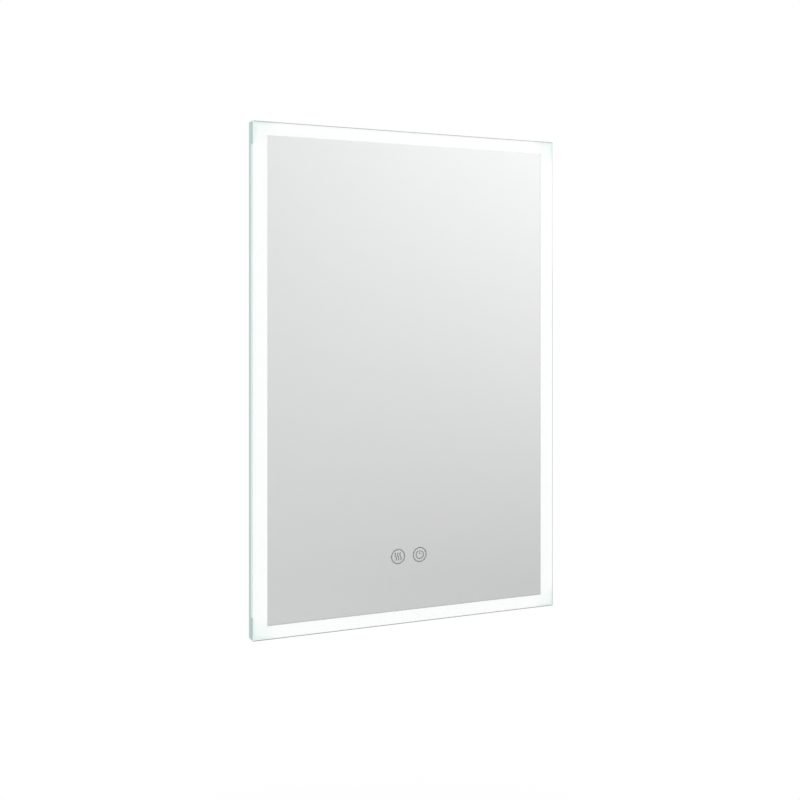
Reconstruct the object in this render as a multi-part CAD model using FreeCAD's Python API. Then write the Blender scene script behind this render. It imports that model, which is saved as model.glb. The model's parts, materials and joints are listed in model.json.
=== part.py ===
import FreeCAD, Part
import math
import os

# Frameless lighted bathroom mirror, fixed to a wall by two keyhole hangers.
# Millimetres. +Z is up, +X is to the right as one faces the mirror, and the wall is the
# plane y = 0 with the mirror on its -Y side. The origin is on the wall, midway between
# the entry holes of the two keyholes.
#
# The pane lights up along a frosted band round its edge. Behind the band lies an opal
# diffuser, lit by strips on four aluminium rails, and the diffuser also shows at the side.
# A sheet cover closes the back and carries the driver, the terminal box and the hangers.

# ---------------------------------------------------------------- driving dimensions

# Mirror pane
glass_width = 600.0
glass_height = 900.0
glass_thick = 5.0
arris_front = 2.0
arris_back = 0.5
coat_thick = 0.2
band_side = 26.4
band_end = 23.4

# Wall fixing
hang_drop = 100.0            # entry holes below the pane's top edge
hanger_inset = 100.0         # entry holes in from the pane's sides
standoff = 3.0               # air behind the cover
entry_radius = 6.0
slot_width = 5.5
slot_rise = 14.0             # from the entry hole's centre to the slot's end centre
hanger_width = 60.0
hanger_height = 48.0
hanger_rise = 6.0            # plate's centre above the entry hole
hanger_corner = 5.0
window_width = 22.0
window_margin = 5.0          # window past the keyhole, above and below
window_corner = 6.6
rivet_inset = 7.5
rivet_radius = 2.0
rivet_head_radius = 3.6
rivet_head = 1.0
rivet_clearance = 0.05

# Depths, from the rails' rear edge forwards
rail_depth = 13.0
diffuser_depth = 8.8

# Opal diffusers
web_thick = 2.5
side_thick = 3.0
web_lap = 1.9                # web past the wider band
web_gap = 0.5                # web to the rail's inner wall
corner_length = 40.0

# Rails
rail_wall = 1.6
ledge_width = 4.0
ledge_thick = 3.0
bond_width = 12.0
tape_thick = 0.8
tape_margin = 1.0
key_channel = 12.4

# Corner keys
key_arm = 60.0
key_clearance = 0.15
key_screw_at = 46.0          # from the corner
key_screw_radius = 1.5
key_head_radius = 2.8
key_head = 1.2
screw_clearance = 0.1
screw_tip_gap = 1.4

# Light strips
strip_width = 10.0
strip_thick = 1.2
strip_setback = 42.0         # strip's end from the corner
chip_length = 3.5
chip_width = 2.8
chip_height = 0.8
chip_pitch = 12.5
link_width = 6.0
link_thick = 0.6
plug_length = 10.0
plug_width = 8.0
plug_height = 5.0

# Rear cover
cover_thick = 1.0
cover_gap = 0.3
cover_screw_radius = 1.75
cover_head_radius = 3.4
cover_head = 1.8
cover_screw_pitch = 190.0
cover_screw_ends = 95.0      # first screw from the corner
bead_width = 16.0
bead_length = 340.0
bead_height = 1.4
bead_draft = 1.6
bead_pitch = 130.0
bead_rise = 80.0             # beads' middle above the pane's middle
vent_width = 3.0
vent_length = 28.0
vent_pitch = 9.0
vent_count = 12

# Bumpers
bumper_inset = 30.0
bumper_radius = 7.0
bumper_round = 0.8
bumper_stem_radius = 3.0
bumper_barb_radius = 4.0
bumper_barb = 2.4
bumper_barb_tip = 1.8
rubber_clearance = 0.1

# Cable entry
cable_x = -105.0
cable_rise = 172.0           # above the icons
cable_bore_radius = 3.6
grommet_neck_radius = 6.0
grommet_flange_radius = 8.5
grommet_flange = 2.0
grommet_round = 0.6

# Touch icons and their sensor modules
icon_height = 123.0          # centres above the pane's bottom edge
demister_x = -26.4
power_x = 17.0
icon_radius = 14.0
icon_stroke = 2.2
wave_pitch = 4.7
wave_height = 13.2
wave_bulge = 1.3
wave_stroke = 1.7
power_radius = 8.2
power_gap = 26.0             # half of the ring's opening, degrees
power_bar = 7.9              # from the ring's top down
sensor_size = 34.0
sensor_thick = 5.0
sensor_corner = 3.0
sleeve_step = 0.1            # sleeves clear of the module's faces

# Demister pad
pad_width = 260.0
pad_height = 360.0
pad_thick = 0.4
pad_rise = 50.0              # pad's centre above the pane's middle
pad_corner = 12.0
patch_width = 18.0
patch_height = 12.0
patch_thick = 3.4

# Driver
driver_x = 60.0
driver_rise = 102.0          # driver's middle above the icons
driver_length = 150.0
driver_width = 42.0
driver_height = 17.0
case_wall = 1.8
case_round = 1.4
base_thick = 2.0
ear_size = 10.0
ear_lap = 1.0                # ears reach this far under the lid
board_margin = 1.5
board_thick = 1.6
boss_height = 3.0
boss_radius = 3.0
boss_inset = 6.0
mains_port_rise = 7.0        # the mains lead's port, above the driver's middle
part_clearance = 1.3         # tallest parts under the lid
transformer_width = 26.0
transformer_length = 22.0
capacitor_radius = 7.0
capacitor_inset = 20.0       # centre from the board's end
capacitor_step = 16.0
capacitor_rise = 3.5
choke_radius = 9.0
choke_height = 4.4
choke_inset = 16.0
filter_width = 7.0
filter_length = 14.0
filter_height = 5.0
filter_gap = 8.0             # beside the transformer

# Terminal box
box_x = -105.0
box_rise = 102.0             # box's middle above the icons
box_width = 70.0
box_height = 44.0
box_depth = 15.0
block_length = 34.0
block_width = 20.0
block_height = 9.0
block_corner = 1.5
block_groove = 1.2           # between two poles
lid_round = 0.9
pole_count = 3
pole_pitch = 10.0
pole_row = 6.0               # screws either side of the block's middle
pole_screw_radius = 1.6
pole_screw_length = 5.0
pole_screw_sunk = 1.5

# Screws that hold the driver and the terminal box to the cover
fix_radius = 1.6
fix_head_radius = 3.0
fix_head = 2.0
fix_past_cover = 0.8
slot_cut = 0.7               # width of a screw's driving slot
head_round = 0.7             # pan heads' edge
recess_width = 0.9           # arms of their cross recess
recess_depth = 1.1

# Leads and clips
lead_radius = 2.2
pad_lead_radius = 1.8
collar_wall = 1.3
collar_length = 3.0
lead_height = 6.0            # lead's centre in front of the cover
wall_hole_radius = 2.8
clip_length = 5.0
clip_wall = 1.8
clip_clearance = 0.15
bend_share = 0.45            # of the shorter straight, taken up by a bend
port_run = 22.0              # straight run out of the driver's port
driver_lead_out = 34.0       # its upright run, out from the port
driver_lead_top = 24.0       # upright run's ends, below the driver's middle
driver_lead_foot = 80.0
driver_lead_turn = 26.0      # last bends, in from the upright run
driver_lead_level = 70.0
driver_lead_dip = 4.0
supply_drop = 32.0           # demister lead: straight run under the terminal box
supply_sweep = 50.0          # its bends before the sensor, and the upper one's height
supply_level = 26.0
supply_rise = 13.0
climb_run = 28.0             # straight runs at the ends of the pad's lead
climb_bend = 60.0            # the sway starts and ends this far from them
climb_sway = 10.0
strip_lead_run = 18.0        # straight runs at the ends of the strips' lead
strip_lead_foot = 34.0

# ---------------------------------------------------------------- derived places

half_width = glass_width / 2
top_z = hang_drop
bottom_z = top_z - glass_height
middle_z = (top_z + bottom_z) / 2
half_height = glass_height / 2

rear_y = -standoff
cover_front_y = rear_y - cover_thick
flange_front_y = cover_front_y - rail_wall
ledge_y = rear_y - rail_depth
shelf_front_y = ledge_y + ledge_thick
shelf_rear_y = shelf_front_y + rail_wall
coat_back_y = ledge_y - diffuser_depth
glass_back_y = coat_back_y - coat_thick
glass_front_y = glass_back_y - glass_thick
web_back_y = coat_back_y + web_thick
bond_front_y = coat_back_y + tape_thick
bond_back_y = bond_front_y + rail_wall
channel_depth = flange_front_y - shelf_rear_y

inner_wall = max(band_side, band_end) + web_lap + web_gap
inner_wall_back = inner_wall + rail_wall
bond_reach = inner_wall_back + bond_width
channel_far = rail_wall + key_channel
rib_far = channel_far + rail_wall
channel_middle = rail_wall + key_channel / 2
strip_middle = (ledge_width + inner_wall) / 2

strip_front_y = shelf_front_y - strip_thick
plug_y = strip_front_y - plug_height / 2
sensor_y = coat_back_y + sensor_thick / 2
lead_y = cover_front_y - lead_height
patch_y = coat_back_y + patch_thick / 2
icon_z = bottom_z + icon_height
driver_z = icon_z + driver_rise
box_z = icon_z + box_rise
cable_z = icon_z + cable_rise
pad_z = middle_z + pad_rise
pad_low = pad_z - pad_height / 2
hanger_step = half_width - hanger_inset
lead_slope_y = (lead_y + sensor_y) / 2

SIDES = ("left", "right", "top", "bottom")
CORNERS = (("top", "left"), ("top", "right"), ("bottom", "left"), ("bottom", "right"))

# ---------------------------------------------------------------- helpers


def vec(x, y, z):
    return FreeCAD.Vector(x, y, z)


ALONG_Y = vec(0, 1, 0)
FULL_ROUND = 0.499           # corner radius of a slot's ends, as a share of its width
ONE_PLACE = 1e-6             # points nearer than this are the same point


def save(name, shape):
    """Write one piece, or one group of identical pieces, to its own file."""
    if not shape.isValid():
        raise ValueError(name + " is not a valid solid")
    shape.exportStep(os.path.join("parts", name + ".step"))
    print(name, "solids", len(shape.Solids), "volume", round(shape.Volume, 1))


def box(x0, x1, y0, y1, z0, z1):
    return Part.makeBox(x1 - x0, y1 - y0, z1 - z0, vec(x0, y0, z0))


def rod(x, z, radius, y0, y1):
    """Cylinder along Y."""
    return Part.makeCylinder(radius, y1 - y0, vec(x, y0, z), ALONG_Y)


def cone(x, z, radius0, radius1, y0, y1):
    return Part.makeCone(radius0, radius1, y1 - y0, vec(x, y0, z), ALONG_Y)


def prism(points, y0, y1):
    """Straight prism along Y from an outline of (x, z) points."""
    corners = [vec(x, y0, z) for x, z in points]
    face = Part.Face(Part.makePolygon(corners + corners[:1]))
    return face.extrude(vec(0, y1 - y0, 0))


def rounded_wire(x, z, width, height, radius, y):
    """Rectangle with round corners in a plane of constant y, centred on (x, z)."""
    a = width / 2
    b = height / 2
    k = radius * (1 - math.sqrt(0.5))
    edges = []
    for sx, sz in ((1, 1), (-1, 1), (-1, -1), (1, -1)):
        side = vec(x + sx * a, y, z + sz * (b - radius))
        middle = vec(x + sx * (a - k), y, z + sz * (b - k))
        end = vec(x + sx * (a - radius), y, z + sz * b)
        first, last = (side, end) if sx * sz > 0 else (end, side)
        if edges and edges[-1].lastVertex().Point.distanceToPoint(first) > ONE_PLACE:
            edges.append(Part.LineSegment(edges[-1].lastVertex().Point, first).toShape())
        edges.append(Part.Arc(first, middle, last).toShape())
    close_from = edges[-1].lastVertex().Point
    close_to = edges[0].firstVertex().Point
    if close_from.distanceToPoint(close_to) > ONE_PLACE:
        edges.append(Part.LineSegment(close_from, close_to).toShape())
    return Part.Wire(edges)


def rounded_block(x, z, width, height, radius, y0, y1):
    face = Part.Face(rounded_wire(x, z, width, height, radius, y0))
    return face.extrude(vec(0, y1 - y0, 0))


def joined(pieces):
    """Fuse pieces that touch into one solid without seams."""
    return pieces[0].multiFuse(pieces[1:]).removeSplitter()


def turned(x, z, profile):
    """Solid of revolution about the line along Y through (x, z): profile of (radius, y)."""
    corners = [vec(x + r, y, z) for r, y in profile]
    face = Part.Face(Part.makePolygon(corners + corners[:1]))
    return face.revolve(vec(x, 0, z), ALONG_Y, 360)


def half_run(side):
    return half_height if side in ("left", "right") else half_width


def at_edge(side, along, inset, y):
    """Point at a side of the pane: along the side from its middle, and inset from its edge."""
    if side == "left":
        return vec(-half_width + inset, y, middle_z + along)
    if side == "right":
        return vec(half_width - inset, y, middle_z + along)
    if side == "top":
        return vec(along, y, top_z - inset)
    return vec(along, y, bottom_z + inset)


def run(side, section, low, high):
    """Profile of (inset, y) points, extruded along a side between two distances."""
    corners = [at_edge(side, low, inset, y) for inset, y in section]
    face = Part.Face(Part.makePolygon(corners + corners[:1]))
    return face.extrude(at_edge(side, high, 0, 0) - at_edge(side, low, 0, 0))


def mitred(side, shape, reach):
    """Cut both ends of a run at 45 degrees, so that it meets its neighbours."""
    spare = 1.0
    far = half_run(side)
    outline = []
    for along, inset in ((-far - spare, -spare), (far + spare, -spare),
                         (far - reach - spare, reach + spare), (reach + spare - far, reach + spare)):
        outline.append(at_edge(side, along, inset, glass_front_y - spare))
    face = Part.Face(Part.makePolygon(outline + outline[:1]))
    return shape.common(face.extrude(vec(0, -glass_front_y + spare, 0)))


def corner_point(corner, across, down):
    """(x, z) at a corner of the pane: across and down from it, towards the middle."""
    x = half_width - across if corner[1] == "right" else across - half_width
    z = top_z - down if corner[0] == "top" else bottom_z + down
    return x, z


def pan_screw(x, z, y_seat, radius, head_radius, head, length, facing):
    """Pan-head screw along Y. facing is +1 when its head looks towards the wall."""
    top = y_seat + facing * head
    tip = y_seat - facing * length
    shank = rod(x, z, radius, min(y_seat, tip), max(y_seat, tip))
    cap = rod(x, z, head_radius, min(y_seat, top), max(y_seat, top))
    rim = [e for e in cap.Edges if abs(e.CenterOfMass.y - top) < ONE_PLACE and len(e.Vertexes) == 1]
    cap = cap.makeFillet(head_round, rim)
    floor = top - facing * recess_depth
    slots = []
    for width, height in ((head_radius, recess_width), (recess_width, head_radius)):
        slots.append(box(x - width / 2, x + width / 2, min(top, floor), max(top, floor),
                         z - height / 2, z + height / 2))
    return joined([shank, cap]).cut(slots)


def lead(name, points, radius):
    """Round lead along straight runs joined by tangent arcs as large as the runs allow."""
    spots = [vec(*p) for p in points]
    edges = []
    start = spots[0]
    for before, bend, after in zip(spots, spots[1:], spots[2:]):
        back = before - bend
        onward = after - bend
        setback = bend_share * min(back.Length, onward.Length)
        back.normalize()
        onward.normalize()
        turn = math.pi - back.getAngle(onward)
        arc_radius = setback / math.tan(turn / 2)
        inward = back + onward
        inward.normalize()
        enter = bend + back * setback
        leave = bend + onward * setback
        halfway = bend + inward * (arc_radius / math.cos(turn / 2) - arc_radius)
        edges.append(Part.LineSegment(start, enter).toShape())
        edges.append(Part.Arc(enter, halfway, leave).toShape())
        start = leave
        print("  ", name, "arc radius", round(arc_radius, 1))
    edges.append(Part.LineSegment(start, spots[-1]).toShape())
    path = Part.Wire(edges)
    profile = Part.Wire(Part.makeCircle(radius, spots[0], spots[1] - spots[0]))
    tube = path.makePipeShell([profile], True, False)
    expected = math.pi * radius ** 2 * path.Length
    print("  ", name, "volume over section times length", round(tube.Volume / expected, 4))
    return tube


def collar(start, direction, radius):
    """Short sleeve on a housing's wall, where a lead of this radius ends."""
    return Part.makeCylinder(radius + collar_wall, collar_length, start, direction)


# ---------------------------------------------------------------- pane and its coatings


def make_pane():
    pane = box(-half_width, half_width, glass_front_y, glass_back_y, bottom_z, top_z)
    for y, size in ((glass_front_y, arris_front), (glass_back_y, arris_back)):
        rim = [e for e in pane.Edges if all(abs(v.Y - y) < ONE_PLACE for v in e.Vertexes)]
        pane = pane.makeChamfer(size, rim)
    return pane


def make_frost(side):
    """One side of the frosted light band, a thin layer on the pane's back."""
    edge_x = half_width - arris_back
    edge_z = half_height - arris_back
    inner_x = half_width - band_side
    inner_z = half_height - band_end
    if side in ("left", "right"):
        s = -1 if side == "left" else 1
        outline = [(s * edge_x, edge_z), (s * edge_x, -edge_z),
                   (s * inner_x, -inner_z), (s * inner_x, inner_z)]
    else:
        s = 1 if side == "top" else -1
        outline = [(-edge_x, s * edge_z), (edge_x, s * edge_z),
                   (inner_x, s * inner_z), (-inner_x, s * inner_z)]
    return prism([(x, z + middle_z) for x, z in outline], glass_back_y, coat_back_y)


def ring(x, z, radius, stroke):
    outer = rod(x, z, radius, glass_back_y, coat_back_y)
    return outer.cut(rod(x, z, radius - stroke, glass_back_y, coat_back_y))


def wave_line(x, z):
    """One rising wave: an upright S of two arcs, drawn with a round-ended stroke."""
    quarter = wave_height / 4
    points = [vec(x, glass_back_y, z + k * quarter) for k in (2, 1, 0, -1, -2)]
    points[1].x -= wave_bulge
    points[3].x += wave_bulge
    upper = Part.Arc(points[0], points[1], points[2]).toShape()
    lower = Part.Arc(points[2], points[3], points[4]).toShape()
    stroke = []
    for arc in (upper, lower):
        centre = arc.Curve.Center
        bend = ring(centre.x, centre.z, arc.Curve.Radius + wave_stroke / 2, wave_stroke)
        wedge = [centre]
        for end in (arc.firstVertex().Point, arc.lastVertex().Point):
            wedge.append(centre + (end - centre) * 2)
        face = Part.Face(Part.makePolygon(wedge + wedge[:1]))
        stroke.append(bend.common(face.extrude(vec(0, coat_thick, 0))))
    for end in (points[0], points[4]):
        stroke.append(rod(end.x, end.z, wave_stroke / 2, glass_back_y, coat_back_y))
    return joined(stroke)


def make_demister_icon():
    lines = [wave_line(demister_x + k * wave_pitch, icon_z) for k in (-1, 0, 1)]
    return Part.makeCompound([ring(demister_x, icon_z, icon_radius, icon_stroke)] + lines)


def make_power_icon():
    sign = ring(power_x, icon_z, power_radius, wave_stroke)
    opening = []
    far = 2 * power_radius
    for angle in (-power_gap, power_gap):
        reach = math.radians(angle)
        opening.append((power_x + far * math.sin(reach), icon_z + far * math.cos(reach)))
    opening.append((power_x, icon_z))
    sign = sign.cut(prism(opening, glass_back_y, coat_back_y))
    half = wave_stroke / 2
    bar = box(power_x - half, power_x + half, glass_back_y, coat_back_y,
              icon_z + power_radius - power_bar, icon_z + power_radius)
    return Part.makeCompound([ring(power_x, icon_z, icon_radius, icon_stroke), sign, bar])


def make_silvering(icons):
    sheet = box(band_side - half_width, half_width - band_side, glass_back_y, coat_back_y,
                bottom_z + band_end, top_z - band_end)
    return sheet.cut([solid for icon in icons for solid in icon.Solids])


# ---------------------------------------------------------------- diffusers and rails


def diffuser_section():
    web_end = inner_wall - web_gap
    return [(0, coat_back_y), (web_end, coat_back_y), (web_end, web_back_y),
            (side_thick, web_back_y), (side_thick, ledge_y), (0, ledge_y)]


def make_diffuser(side):
    far = half_run(side) - corner_length
    return run(side, diffuser_section(), -far, far)


def make_diffuser_corner(corner):
    """L-shaped end piece, of the same profile, mitred and welded at the corner."""
    upright = half_run(corner[1])
    level = half_run(corner[0])
    sign_z = 1 if corner[0] == "top" else -1
    sign_x = 1 if corner[1] == "right" else -1
    arms = []
    for side, far, sign in ((corner[1], upright, sign_z), (corner[0], level, sign_x)):
        ends = sorted((sign * far, sign * (far - corner_length)))
        arms.append(mitred(side, run(side, diffuser_section(), ends[0], ends[1]), bond_reach))
    return joined(arms)


def cover_screw_spots(side):
    """Even steps along a side, first and last a set distance from the corners."""
    span = 2 * (half_run(side) - cover_screw_ends)
    steps = max(1, round(span / cover_screw_pitch))
    return [-span / 2 + span * k / steps for k in range(steps + 1)]


def key_screw_spots(side):
    far = half_run(side) - key_screw_at
    return (-far, far)


def make_rail(side):
    section = [(0, rear_y), (0, ledge_y), (ledge_width, ledge_y), (ledge_width, shelf_front_y),
               (inner_wall, shelf_front_y), (inner_wall, bond_front_y), (bond_reach, bond_front_y),
               (bond_reach, bond_back_y), (inner_wall_back, bond_back_y),
               (inner_wall_back, shelf_rear_y), (rib_far, shelf_rear_y), (rib_far, cover_front_y),
               (rail_wall, cover_front_y), (rail_wall, rear_y)]
    channel = [(rail_wall, shelf_rear_y), (channel_far, shelf_rear_y),
               (channel_far, flange_front_y), (rail_wall, flange_front_y)]
    far = half_run(side)
    rail = mitred(side, run(side, section, -far, far), bond_reach)
    cuts = [run(side, channel, -far, far)]
    for along in cover_screw_spots(side):
        spot = at_edge(side, along, channel_middle, 0)
        cuts.append(rod(spot.x, spot.z, cover_screw_radius + screw_clearance, flange_front_y, cover_front_y))
    for along in key_screw_spots(side):
        spot = at_edge(side, along, channel_middle, 0)
        cuts.append(rod(spot.x, spot.z, key_screw_radius + screw_clearance, flange_front_y, cover_front_y))
        cuts.append(cone(spot.x, spot.z, key_screw_radius + screw_clearance,
                         key_head_radius + screw_clearance, cover_front_y - key_head, cover_front_y))
    if side == "bottom":
        hole_start = vec(power_x, plug_y, bottom_z + inner_wall)
        cuts.append(Part.makeCylinder(wall_hole_radius, rail_wall, hole_start, vec(0, 0, 1)))
    return rail.cut(cuts)


def make_corner_key(corner):
    near = rail_wall + key_clearance
    far = channel_far - key_clearance
    outline = [(near, near), (key_arm, near), (key_arm, far), (far, far), (far, key_arm), (near, key_arm)]
    y0 = shelf_rear_y + key_clearance
    y1 = flange_front_y - key_clearance
    key = prism([corner_point(corner, a, b) for a, b in outline], y0, y1)
    holes = []
    for across, down in ((key_screw_at, channel_middle), (channel_middle, key_screw_at)):
        x, z = corner_point(corner, across, down)
        holes.append(rod(x, z, key_screw_radius + screw_clearance, y0, y1))
    return key.cut(holes)


def make_key_screws():
    """Countersunk screws, two a corner, flush with the rails' rear flanges."""
    screws = []
    length = rail_wall + channel_depth - screw_tip_gap
    for side in SIDES:
        for along in key_screw_spots(side):
            spot = at_edge(side, along, channel_middle, 0)
            shank = rod(spot.x, spot.z, key_screw_radius, cover_front_y - length, cover_front_y)
            head = cone(spot.x, spot.z, key_screw_radius, key_head_radius,
                        cover_front_y - key_head, cover_front_y)
            slot = box(spot.x - key_head_radius, spot.x + key_head_radius, cover_front_y - key_head / 2,
                       cover_front_y, spot.z - slot_cut / 2, spot.z + slot_cut / 2)
            screws.append(joined([shank, head]).cut(slot))
    return Part.makeCompound(screws)


def make_bond_tape(side):
    """Foam tape between a rail's bonding flange and the pane, butted at the corners."""
    near = inner_wall + tape_margin
    far = bond_reach - tape_margin
    ends = half_run(side) - (near if side in ("left", "right") else far)
    section = [(near, coat_back_y), (far, coat_back_y), (far, bond_front_y), (near, bond_front_y)]
    return run(side, section, -ends, ends)


# ---------------------------------------------------------------- light strips


def make_strip(side):
    """Board on the rail's shelf with its row of chips, and on the bottom one a feed plug."""
    near = strip_middle - strip_width / 2
    far = strip_middle + strip_width / 2
    ends = half_run(side) - strip_setback
    board = run(side, [(near, strip_front_y), (far, strip_front_y), (far, shelf_front_y),
                       (near, shelf_front_y)], -ends, ends)
    chip_near = strip_middle - chip_width / 2
    chip_far = strip_middle + chip_width / 2
    chip_front = strip_front_y - chip_height
    chip = [(chip_near, chip_front), (chip_far, chip_front), (chip_far, strip_front_y),
            (chip_near, strip_front_y)]
    steps = int((2 * ends - chip_pitch) // chip_pitch)
    pieces = [board]
    for k in range(steps + 1):
        along = (k - steps / 2) * chip_pitch
        if side == "bottom" and abs(along - power_x) < (plug_length + chip_length) / 2 + 1:
            continue
        pieces.append(run(side, chip, along - chip_length / 2, along + chip_length / 2))
    if side == "bottom":
        plug = [(far - plug_width, strip_front_y - plug_height), (far, strip_front_y - plug_height),
                (far, strip_front_y), (far - plug_width, strip_front_y)]
        pieces.append(run(side, plug, power_x - plug_length / 2, power_x + plug_length / 2))
    return joined(pieces)


def make_strip_links():
    """Flat flexible links: a quarter ring on the shelves at each corner."""
    radius = strip_setback - strip_middle
    links = []
    for corner in CORNERS:
        x, z = corner_point(corner, strip_setback, strip_setback)
        outer = rod(x, z, radius + link_width / 2, shelf_front_y - link_thick, shelf_front_y)
        inner = rod(x, z, radius - link_width / 2, shelf_front_y - link_thick, shelf_front_y)
        x_edge, z_edge = corner_point(corner, 0, 0)
        quarter = box(min(x, x_edge), max(x, x_edge), shelf_front_y - link_thick, shelf_front_y,
                      min(z, z_edge), max(z, z_edge))
        links.append(outer.cut(inner).common(quarter))
    return Part.makeCompound(links)


# ---------------------------------------------------------------- rear cover and wall fixing


def hanger_x(side):
    return -hanger_step if side == "left" else hanger_step


def rivet_spots(side):
    a = hanger_width / 2 - rivet_inset
    b = hanger_height / 2 - rivet_inset
    x = hanger_x(side)
    return [(x + sx * a, hanger_rise + sz * b) for sx in (-1, 1) for sz in (-1, 1)]


def bumper_spots():
    return {corner: corner_point(corner, bumper_inset, bumper_inset) for corner in CORNERS}


def bead_shape(x, z, spare):
    """Drafted bead with round ends. spare is 0 for its outside, or the sheet for its inside."""
    wires = []
    for y, shrink in ((rear_y - spare, 0), (rear_y - spare + bead_height, bead_draft)):
        width = bead_width - 2 * (shrink + spare)
        length = bead_length - 2 * (shrink + spare)
        wires.append(rounded_wire(x, z, width, length, width * FULL_ROUND, y))
    return Part.makeLoft(wires, True, True)


def vent_spots():
    """Two rows of upright slots, above and below the driver."""
    spots = []
    for z in (driver_z - driver_width / 2 - vent_length, driver_z + driver_width / 2 + vent_length):
        for k in range(vent_count):
            spots.append((driver_x + (k - (vent_count - 1) / 2) * vent_pitch, z))
    return spots


def fixing_spots():
    """Screws of the driver's ears and of the terminal box's floor."""
    ear_x = driver_length / 2 - ear_size / 2
    ear_z = driver_width / 2 + ear_size / 2
    box_step = box_width / 2 - case_wall - 2 * fix_head_radius
    return {
        "driver": [(driver_x - ear_x, driver_z + ear_z), (driver_x + ear_x, driver_z - ear_z)],
        "box": [(box_x - box_step, box_z), (box_x + box_step, box_z)],
    }


def make_cover():
    inset = rail_wall + cover_gap
    sheet = box(inset - half_width, half_width - inset, cover_front_y, rear_y,
                bottom_z + inset, top_z - inset)
    beads = [(k * bead_pitch, middle_z + bead_rise) for k in (-1, 0, 1)]
    sheet = sheet.fuse([bead_shape(x, z, 0) for x, z in beads])
    cuts = [bead_shape(x, z, cover_thick) for x, z in beads]
    for side in SIDES:
        for along in cover_screw_spots(side):
            spot = at_edge(side, along, channel_middle, 0)
            cuts.append(rod(spot.x, spot.z, cover_screw_radius + screw_clearance, cover_front_y, rear_y))
    window_low = -entry_radius - window_margin
    window_high = slot_rise + slot_width / 2 + window_margin
    for side in ("left", "right"):
        cuts.append(rounded_block(hanger_x(side), (window_low + window_high) / 2, window_width,
                                  window_high - window_low, window_corner, cover_front_y, rear_y))
        for x, z in rivet_spots(side):
            cuts.append(rod(x, z, rivet_radius + rivet_clearance, cover_front_y, rear_y))
    for x, z in bumper_spots().values():
        cuts.append(rod(x, z, bumper_stem_radius + rubber_clearance, cover_front_y, rear_y))
    for x, z in vent_spots():
        cuts.append(rounded_block(x, z, vent_width, vent_length, vent_width * FULL_ROUND,
                                  cover_front_y, rear_y))
    for spots in fixing_spots().values():
        for x, z in spots:
            cuts.append(rod(x, z, fix_radius + screw_clearance, cover_front_y, rear_y))
    cuts.append(rod(cable_x, cable_z, grommet_neck_radius + rubber_clearance, cover_front_y, rear_y))
    return sheet.cut(cuts)


def make_cover_screws():
    screws = []
    length = cover_thick + rail_wall + channel_depth - screw_tip_gap
    for side in SIDES:
        for along in cover_screw_spots(side):
            spot = at_edge(side, along, channel_middle, 0)
            screws.append(pan_screw(spot.x, spot.z, rear_y, cover_screw_radius, cover_head_radius,
                                    cover_head, length, 1))
    return Part.makeCompound(screws)


def make_hanger(side):
    """Keyhole plate on the cover's back: round entry below, narrow slot above."""
    x = hanger_x(side)
    plate = rounded_block(x, hanger_rise, hanger_width, hanger_height, hanger_corner, rear_y, 0)
    half = slot_width / 2
    cuts = [rod(x, 0, entry_radius, rear_y, 0), rod(x, slot_rise, half, rear_y, 0),
            box(x - half, x + half, rear_y, 0, 0, slot_rise)]
    for rx, rz in rivet_spots(side):
        cuts.append(rod(rx, rz, rivet_radius + rivet_clearance, rear_y, 0))
        cuts.append(cone(rx, rz, rivet_radius + rivet_clearance,
                         rivet_head_radius + rivet_clearance, -rivet_head, 0))
    return plate.cut(cuts)


def make_hanger_rivets():
    """Flush heads in the hangers, shanks through the cover, formed heads inside."""
    rivets = []
    for side in ("left", "right"):
        for x, z in rivet_spots(side):
            shank = rod(x, z, rivet_radius, cover_front_y, 0)
            head = cone(x, z, rivet_radius, rivet_head_radius, -rivet_head, 0)
            formed = rod(x, z, rivet_head_radius, cover_front_y - rivet_head, cover_front_y)
            rivets.append(joined([shank, head, formed]))
    return Part.makeCompound(rivets)


def make_bumper(x, z):
    """Rubber foot: pad against the wall, stem through the cover, barb inside it."""
    neck = cover_front_y
    profile = [(0, 0), (bumper_radius - bumper_round, 0), (bumper_radius, -bumper_round),
               (bumper_radius, rear_y), (bumper_stem_radius, rear_y), (bumper_stem_radius, neck),
               (bumper_barb_radius, neck), (bumper_barb_tip, neck - bumper_barb),
               (0, neck - bumper_barb)]
    return turned(x, z, profile)


def make_grommet():
    back = rear_y + grommet_flange
    front = cover_front_y - grommet_flange
    profile = [(cable_bore_radius, back), (grommet_flange_radius - grommet_round, back),
               (grommet_flange_radius, back - grommet_round), (grommet_flange_radius, rear_y),
               (grommet_neck_radius, rear_y), (grommet_neck_radius, cover_front_y),
               (grommet_flange_radius, cover_front_y), (grommet_flange_radius - grommet_round, front),
               (cable_bore_radius, front)]
    return turned(cable_x, cable_z, profile)


# ---------------------------------------------------------------- driver and terminal box


def driver_top_y():
    return cover_front_y - driver_height


def make_driver_base():
    a = driver_length / 2
    b = driver_width / 2
    y0 = cover_front_y - base_thick
    pieces = [box(driver_x - a, driver_x + a, y0, cover_front_y, driver_z - b, driver_z + b)]
    for x, z in fixing_spots()["driver"]:
        half = ear_size / 2
        inner = driver_z + (b - ear_lap if z > driver_z else ear_lap - b)
        outer = z + (half if z > driver_z else -half)
        pieces.append(box(x - half, x + half, y0, cover_front_y, min(inner, outer), max(inner, outer)))
    for sx in (-1, 1):
        for sz in (-1, 1):
            x = driver_x + sx * (a - case_wall - boss_inset)
            z = driver_z + sz * (b - case_wall - boss_inset)
            pieces.append(rod(x, z, boss_radius, y0 - boss_height, y0))
    holes = [rod(x, z, fix_radius + screw_clearance, y0, cover_front_y)
             for x, z in fixing_spots()["driver"]]
    return joined(pieces).cut(holes)


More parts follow.
